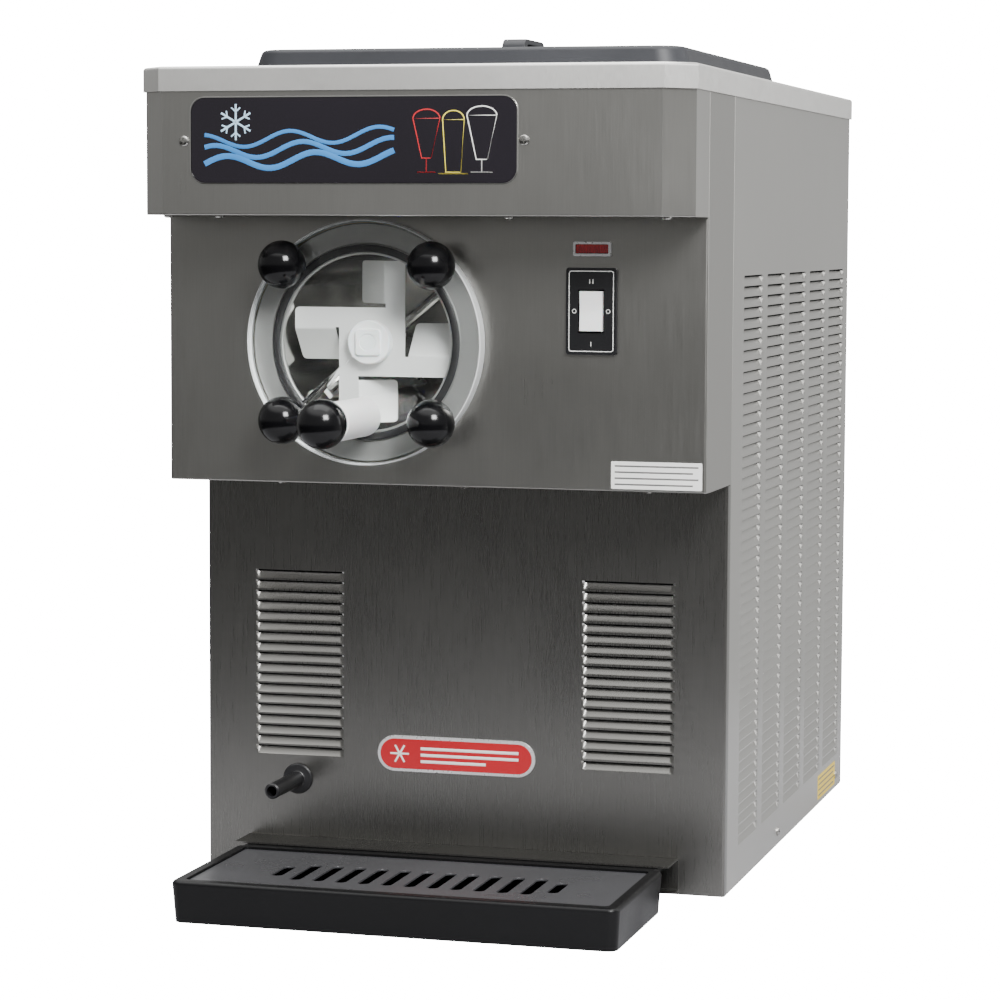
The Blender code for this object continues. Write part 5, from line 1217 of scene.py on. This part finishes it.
# switch plate with a printed border, a white rocker and generic on and off marks
plate = {"width": 38 * mm, "height": 63 * mm, "face": switchLow.y}
switchPlate = frontPlate(
    "switchPlate", (plate["width"], plate["height"], 2.2 * mm), upperLow.y - plate["face"],
    (switchX, upperLow.y, switchZ),
)
roundEdges(switchPlate, edgesAt(y=plate["face"]), 0.7 * mm, 2)
switchBody = addBox(
    "switchBody", (switchX - 12 * mm, upperLow.y - 0.4 * mm, switchZ - 19 * mm),
    (switchX + 12 * mm, switchHigh.y, switchZ + 19 * mm),
)
switchPiece = joined("switchPlate", switchPlate, switchBody)
rockerLow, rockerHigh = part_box("rocker")
pocket = addBox(
    "pocketCut", (rockerLow.x - 1.1 * mm, plate["face"] - 5 * mm, rockerLow.z - 1.1 * mm),
    (rockerHigh.x + 1.1 * mm, rockerHigh.y + 1.5 * mm, rockerHigh.z + 1.1 * mm),
)
cutBy(switchPiece, pocket)
finishPiece(switchPiece, smoothBlack, "cabinet", ["switch_plate"])
printY = plate["face"] - 0.05 * mm
border = frontPlate(
    "switchBorder", (33.5 * mm, 58.5 * mm, 2.0 * mm), 0.3 * mm, (switchX, printY + 0.2 * mm, switchZ),
)
cutBy(
    border,
    frontPlate(
        "borderCut", (32.4 * mm, 57.4 * mm, 1.5 * mm), 4 * mm, (switchX, printY + 2 * mm, switchZ),
    ),
)
marks = [border]
bars = [(-1.2, 21.5, 0.5, 3.2), (1.2, 21.5, 0.5, 3.2), (0, -23.8, 0.5, 3.2)]
for n, (x, z, w, h) in enumerate(bars):
    marks.append(
        addBox(
            f"switchMark{n}",
            (switchX + (x - w / 2) * mm, printY - 0.1 * mm, switchZ + (z - h / 2) * mm),
            (switchX + (x + w / 2) * mm, printY + 0.2 * mm, switchZ + (z + h / 2) * mm),
        )
    )
for n, x in enumerate((-12.6, 12.6)):
    ring = [(p * mm, q * mm) for p, q in arcPoints(0, 0, 1.4, 0, 345, 20)]
    ring = stroke(f"switchRing{n}", ring, 0.45 * mm, closed=True)
    marks.append(placed(ring, (switchX + x * mm, printY, switchZ), frontTurn))
marks = joined("switchPrint", *marks)
finishPiece(marks, whitePrint, "cabinet")
rockerPiece = addBox("rockerCap", rockerLow, rockerHigh)
rockerZ = halfway(rockerLow.z, rockerHigh.z)
for share in (0.2, 0.35, 0.5, 0.65, 0.8):
    splitAt(rockerPiece, (0, 0, rockerLow.z + (rockerHigh.z - rockerLow.z) * share), (0, 0, 1))
# its face is hollowed most along the middle
for low, high, dip in ((-1, 0.03, 1.5), (3, 5.5, 1.2), (7, 10, 0.6)):
    move(
        rockerPiece, lambda p: near(p.y, rockerLow.y) and low * mm < abs(p.z - rockerZ) < high * mm,
        (0, dip * mm, 0),
    )


def rockerSide(a, b):
    out = abs(a.x - switchX)
    alongSide = near(out, abs(b.x - switchX)) and near(out, (rockerHigh.x - rockerLow.x) / 2)
    return alongSide and max(a.y, b.y) < rockerLow.y + 2 * mm


roundEdges(rockerPiece, rockerSide, 0.8 * mm, 2)
finishPiece(rockerPiece, whiteAcetal, "switch_rocker", ["rocker"])

# indicator: a chrome bezel round a ribbed red lens
lamp = {"width": 28.5 * mm, "height": 10.5 * mm}
bezel = frontPlate(
    "indicatorBezel", (lamp["width"], lamp["height"], 1.2 * mm), 2.5 * mm, (switchX, upperLow.y, lampZ),
)
roundEdges(bezel, edgesAt(y=lampLow.y), 0.6 * mm, 2)
cutBy(
    bezel,
    frontPlate(
        "bezelCut", (24.6 * mm, 6.8 * mm, 0.6 * mm), 10 * mm, (switchX, upperLow.y + 3 * mm, lampZ),
    ),
)
finishPiece(bezel, chromePlate, "cabinet", ["indicator_lamp"])
lens = addBox(
    "indicatorLens", (switchX - 12.1 * mm, upperLow.y - 1.6 * mm, lampZ - 3.2 * mm),
    (switchX + 12.1 * mm, upperLow.y + 18 * mm, lampZ + 3.2 * mm),
)
ribs = {"start": switchX - 12.1 * mm, "step": 1.1 * mm, "dip": 0.45 * mm}
for n in range(1, 22):
    splitAt(lens, (ribs["start"] + n * ribs["step"], 0, 0), (1, 0, 0))
move(
    lens, lambda p: p.y < upperLow.y and round((p.x - ribs["start"]) / ribs["step"]) % 2 == 1,
    (0, -ribs["dip"], 0),
)
finishPiece(lens, redLens, "cabinet", angle=20)
print("switch and lamp made")

# lit sign: a gloss sheet with an invented frozen-drink picture
signLens = frontPlate(
    "signSheet", (245 * mm, 61 * mm, 10 * mm), lensHigh.y - lensLow.y, (lensX, lensHigh.y, lensZ),
)
roundEdges(signLens, edgesAt(y=lensLow.y), 0.5 * mm, 2)
finishPiece(signLens, signSheet, "cabinet", ["sign_lens"])
trim = frontPlate("signTrim", (246.9 * mm, 62.9 * mm, 10.9 * mm), 0.7 * mm, (lensX, headerLow.y, lensZ))
roundEdges(trim, edgesAt(y=headerLow.y - 0.7 * mm), 0.3 * mm, 2)
cutBy(
    trim,
    frontPlate(
        "trimCut", (245.4 * mm, 61.4 * mm, 10.2 * mm), 8 * mm, (lensX, headerLow.y + 4 * mm, lensZ),
    ),
)
finishPiece(trim, polishedSteel, "cabinet")

artY = lensLow.y - 0.12 * mm
wavePaths = []
for n, height in enumerate((-17, -9, -1)):
    points = []
    for k in range(49):
        x = -112 + k * 3.0
        points.append((x * mm, (height + 5.0 * math.sin(k * 0.28 + n * 0.9) + k * 0.12) * mm))
    wavePaths.append(stroke(f"wave{n}", points, (4.2 - 0.7 * n) * mm, flat=0.12))
waves = joined("signWaves", *wavePaths)
placed(waves, (lensX, artY, lensZ), frontTurn)
finishPiece(waves, blueInk, "cabinet")
flake = []
heart = (-88 * mm, 13 * mm)
for k in range(6):
    angle = math.radians(60 * k + 30)
    away = (math.cos(angle), math.sin(angle))
    end = (heart[0] + 13 * mm * away[0], heart[1] + 13 * mm * away[1])
    flake.append(stroke(f"flakeArm{k}", [heart, end], 1.5 * mm))
    for spread in (-50, 50):
        branch = angle + math.radians(spread)
        root = (heart[0] + 7.5 * mm * away[0], heart[1] + 7.5 * mm * away[1])
        tip = (root[0] + 4.5 * mm * math.cos(branch), root[1] + 4.5 * mm * math.sin(branch))
        flake.append(stroke(f"flakeBranch{k}", [root, tip], 1.1 * mm))
flake = joined("signFlake", *flake)
placed(flake, (lensX, artY, lensZ), frontTurn)
finishPiece(flake, paleInk, "cabinet")


def glassOutline(x, y, top, bottom, height, foot):
    return [
        (x - top / 2, y + height / 2), (x - bottom / 2, y - height / 2 + foot),
        (x, y - height / 2 + foot), (x, y - height / 2), (x - bottom, y - height / 2),
        (x + bottom, y - height / 2), (x, y - height / 2), (x, y - height / 2 + foot),
        (x + bottom / 2, y - height / 2 + foot), (x + top / 2, y + height / 2),
        (x - top / 2, y + height / 2),
    ]


drinks = [
    ("sundaeGlass", redInk, (56, -4, 20, 7, 38, 10)),
    ("tallGlass", yellowInk, (76, -5, 16, 11, 38, 1)),
    ("icePopCup", whitePrint, (97, -3, 22, 8, 40, 9)),
]
for name, ink, sizes in drinks:
    outline = glassOutline(*[s * mm for s in sizes])
    rimWave = []
    x, y, top, bottom, height, foot = sizes
    for k in range(13):
        a = math.pi * k / 12
        rimWave.append(((x + top / 2 * math.cos(a)) * mm, (y + height / 2 + 6.5 * math.sin(a)) * mm))
    drawing = joined(name, stroke(name, outline, 0.9 * mm), stroke(name + "Swirl", rimWave, 0.9 * mm))
    placed(drawing, (lensX, artY, lensZ), frontTurn)
    finishPiece(drawing, ink, "cabinet")
print("sign made")

# badge on the lower panel, a generic snowflake badge without lettering
badge = {"width": 126 * mm, "height": 28 * mm, "x": -4 * mm, "z": 105 * mm}
badgeBase = frontPlate(
    "badgeBase", (badge["width"], badge["height"], 13.9 * mm, 10), 1.4 * mm,
    (badge["x"], panelLow.y, badge["z"]),
)
roundEdges(badgeBase, edgesAt(y=panelLow.y - 1.4 * mm), 0.5 * mm, 2)
finishPiece(badgeBase, chromePlate, "cabinet")
badgeField = frontPlate(
    "badgeField", (badge["width"] - 5 * mm, badge["height"] - 5 * mm, 11.4 * mm, 10), 1.7 * mm,
    (badge["x"], panelLow.y, badge["z"]),
)
finishPiece(badgeField, redEnamel, "cabinet")
marksMade = []
for k in range(3):
    angle = math.pi * k / 3
    x, y = 7.5 * mm * math.cos(angle), 7.5 * mm * math.sin(angle)
    marksMade.append(stroke(f"badgeFlake{k}", [(-45 * mm - x, -y), (-45 * mm + x, y)], 1.4 * mm))
for k, (length, y) in enumerate(((78, 4.5), (78, -0.5), (52, -5.5))):
    marksMade.append(stroke(f"badgeBar{k}", [(-28 * mm, y * mm), ((-28 + length) * mm, y * mm)], 2.2 * mm))
badgeMarks = joined("badgeMarks", *marksMade)
placed(badgeMarks, (badge["x"], panelLow.y - 1.7 * mm, badge["z"]), frontTurn)
finishPiece(badgeMarks, whitePrint, "cabinet")


def addLabel(name, base, ink, low, high, face, turn, bars):
    # a thin printed label with plain grey bars in place of text
    width, height = high[0] - low[0], high[1] - low[1]
    at = (halfway(low[0], high[0]), halfway(low[1], high[1]))
    spot = (at[0], face, at[1]) if turn == frontTurn else (face, at[0], at[1])
    sheet = slab(name, roundedOutline(width, height, 0.8 * mm), 0.15 * mm, spot, turn)
    finishPiece(sheet, base, "cabinet")
    lines = []
    for k in range(bars):
        y = height / 2 - (k + 0.75) * height / (bars + 0.5)
        short = 0.80 if k % 2 else 0.92
        reach = width / 2 * short
        lines.append(
            stroke(f"{name}Line{k}", [(-width / 2 * 0.92, y), (reach, y)], height / (bars * 4), flat=0.3)
        )
    lines = joined(name + "Lines", *lines)
    away = (0, -0.15 * mm, 0) if turn == frontTurn else (0.15 * mm, 0, 0)
    placed(lines, [p + q for p, q in zip(spot, away)], turn)
    finishPiece(lines, ink, "cabinet")


addLabel(
    "frontLabel", whitePrint, greyPrint, (136 * mm, 321 * mm), (203.5 * mm, 341 * mm), upperLow.y,
    frontTurn, 4,
)
addLabel(
    "sideLabel", yellowVinyl, greyPrint, (235 * mm, 12 * mm), (321 * mm, 33 * mm), sideHigh.x, sideTurn,
    4,
)
print("badge and labels made")

# rubber feet, moulded with a groove
for n in range(1, 5):
    footLow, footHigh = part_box(f"foot_{n}")
    footAt = (halfway(footLow.x, footHigh.x), halfway(footLow.y, footHigh.y), 0)
    reach = (footHigh.x - footLow.x) / 2
    foot = turned(
        f"rubberFoot{n}",
        [
            (0, footHigh.z), (4 * mm, footHigh.z), (4 * mm, 8 * mm), (reach - 1.5 * mm, 7.9 * mm),
            (reach - 0.6 * mm, 7.4 * mm), (reach, 5 * mm), (reach - 0.8 * mm, 4.2 * mm),
            (reach - 0.8 * mm, 3.4 * mm), (reach, 2.8 * mm), (reach - 0.4 * mm, 0.8 * mm),
            (reach - 1.6 * mm, 0), (5 * mm, 0), (4 * mm, 1.4 * mm), (0, 1.4 * mm),
        ],
        footAt, sides=40,
    )
    finishPiece(foot, blackRubber, "cabinet", [f"foot_{n}"])

# every part that keeps its CAD shape takes a look from above
paintJobs = [
    (
        polishedSteel,
        ["hopper", "beater_shaft", "door_stud_1", "door_stud_2", "door_stud_3", "door_stud_4"],
    ),
    (galvanised, ["base_pan", "chassis_frame", "control_box", "fan_shroud"]),
    (finMetal, ["condenser"]),
    (copperTube, ["evaporator_coil"]),
    (castMetal, ["gearbox_case", "driven_pulley", "motor_pulley"]),
    (gearSteel, ["output_gear", "input_pinion"]),
    (motorEnamel, ["compressor", "drive_motor", "fan_motor"]),
    (fanPlastic, ["fan_blades"]),
    (blackRubber, ["drive_belt"]),
    (foamSkin, ["barrel_insulation"]),
    (lampGlass, ["sign_lamp"]),
    (smoothBlack, ["cord_gland"]),
    (whiteAcetal, ["feed_tube"]),
]
painted = []
for material, names in paintJobs:
    for name in names:
        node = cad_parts[name]
        node.data.materials.clear()
        node.data.materials.append(material)
        painted.append(name)
for name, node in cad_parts.items():
    if not node.hide_render and name not in painted:
        print("no look for", name)
print("CAD parts painted")

# plain pale floor
deselectAll()
bpy.ops.mesh.primitive_circle_add(vertices=96, radius=0.9, fill_type="NGON")
floor = started("floor")
floorPaint, floorTree, floorShader = startMaterial("paleStudioFloor", [("Roughness", 0.8)])
floorSpot = addNode(floorTree, "ShaderNodeTexCoord").outputs["Object"]
clouds = addNode(
    floorTree, "ShaderNodeTexNoise", [("Scale", 3.0), ("Detail", 2.0)], [("Vector", floorSpot)],
).outputs["Fac"]
greys = [(6, hexToLinear("#97979a")), (7, hexToLinear("#9f9fa2"))]
floorGrey = addNode(floorTree, "ShaderNodeMix", greys, [(0, clouds)], data_type="RGBA").outputs[2]
floorTree.links.new(floorGrey, floorShader.inputs["Base Color"])
seenFloor = addNode(floorTree, "ShaderNodeLightPath").outputs["Is Camera Ray"]
lift = addNode(floorTree, "ShaderNodeMath", [(1, whiteOut)], [(0, seenFloor)], operation="MULTIPLY")
floorTree.links.new(lift.outputs[0], floorShader.inputs["Emission Strength"])
floorShader.inputs["Emission Color"].default_value = (1, 1, 1, 1)
floor.data.materials.append(floorPaint)
floor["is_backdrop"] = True


def addLight(name, at, aim, size, power):
    deselectAll()
    bpy.ops.object.light_add(type="AREA", location=at)
    light = bpy.context.object
    light.name = name
    light.data.shape = "RECTANGLE"
    light.data.size, light.data.size_y = size
    light.data.energy = power
    away = Vector(at) - Vector(aim)
    light.rotation_euler = away.to_track_quat("Z", "Y").to_euler()
    light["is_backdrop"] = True


addLight("keyBox", (1.02, -1.60, 1.50), (0, -0.15, 0.38), (0.7, 0.7), 84)
addLight("topBox", (0, -0.1, 2.2), (0, 0, 0.4), (1.8, 1.6), 24)
addLight("sideBox", (2.1, 0.9, 1.1), (0.2, 0.1, 0.3), (1.4, 1.6), 14)

world = bpy.data.worlds.new("studio")
bpy.context.scene.world = world
world.use_nodes = True
tree = world.node_tree
tree.nodes.clear()
direction = addNode(tree, "ShaderNodeTexCoord").outputs["Generated"]
frontLeft = (-0.30, -0.954, 0.0)
towards = addNode(
    tree, "ShaderNodeVectorMath", [(1, frontLeft)], [(0, direction)], operation="DOT_PRODUCT",
).outputs["Value"]
upwards = addNode(tree, "ShaderNodeSeparateXYZ", links=[(0, direction)]).outputs["Z"]
bands = [
    (towards, (-0.75, 0.25), (0.66, 0.0)),  # a pale room behind the object
    (upwards, (0.5, 0.85), (0.0, 2.6)),  # a bright ceiling
    (upwards, (-0.14, 0.06), (0.03, 0.40)),  # grey walls over a dark floor
]
glow = None
for value, (fromLow, fromHigh), (toLow, toHigh) in bands:
    span = [("From Min", fromLow), ("From Max", fromHigh), ("To Min", toLow), ("To Max", toHigh)]
    band = addNode(
        tree, "ShaderNodeMapRange", span, [("Value", value)], interpolation_type="SMOOTHSTEP",
    ).outputs["Result"]
    if glow is not None:
        band = addNode(
            tree, "ShaderNodeMath", links=[(0, glow), (1, band)], operation="MAXIMUM",
        ).outputs[0]
    glow = band
around = addNode(tree, "ShaderNodeBackground", [("Color", hexToLinear("#fbfbfa"))], [("Strength", glow)])
behind = addNode(tree, "ShaderNodeBackground", [("Color", (1, 1, 1, 1)), ("Strength", whiteOut)])
seen = addNode(tree, "ShaderNodeLightPath").outputs["Is Camera Ray"]
mixed = addNode(
    tree, "ShaderNodeMixShader", links=[(0, seen), (1, around.outputs[0]), (2, behind.outputs[0])],
)
addNode(tree, "ShaderNodeOutputWorld", links=[("Surface", mixed.outputs[0])])
print("studio made")

# the camera: place in metres, lens in mm, angles in radians
shot = {"at": (0.6797, -2.46805, 0.510), "lens": 113.76, "yaw": 0.2751, "pitch": 0.0862, "roll": 0.0047}
yaw, pitch, roll = shot["yaw"], shot["pitch"], shot["roll"]
ahead = Vector((-math.sin(yaw) * math.cos(pitch), math.cos(yaw) * math.cos(pitch), -math.sin(pitch)))
right = Vector((math.cos(yaw), math.sin(yaw), 0))
up = right.cross(ahead)
right, up = math.cos(roll) * right + math.sin(roll) * up, math.cos(roll) * up - math.sin(roll) * right
bpy.ops.object.camera_add(location=shot["at"])
camera = bpy.context.object
camera.name = "shotCamera"
camera.data.lens = shot["lens"]
camera.data.sensor_width = 36
camera.rotation_euler = Matrix((right, up, -ahead)).transposed().to_euler()
bpy.context.scene.camera = camera

endLow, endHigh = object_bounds()
sizes = {
    "start": {"low": list(startLow), "high": list(startHigh)},
    "end": {"low": list(endLow), "high": list(endHigh)},
}
print(
    "size before", [round(v, 4) for v in startHigh - startLow], "after",
    [round(v, 4) for v in endHigh - endLow],
)
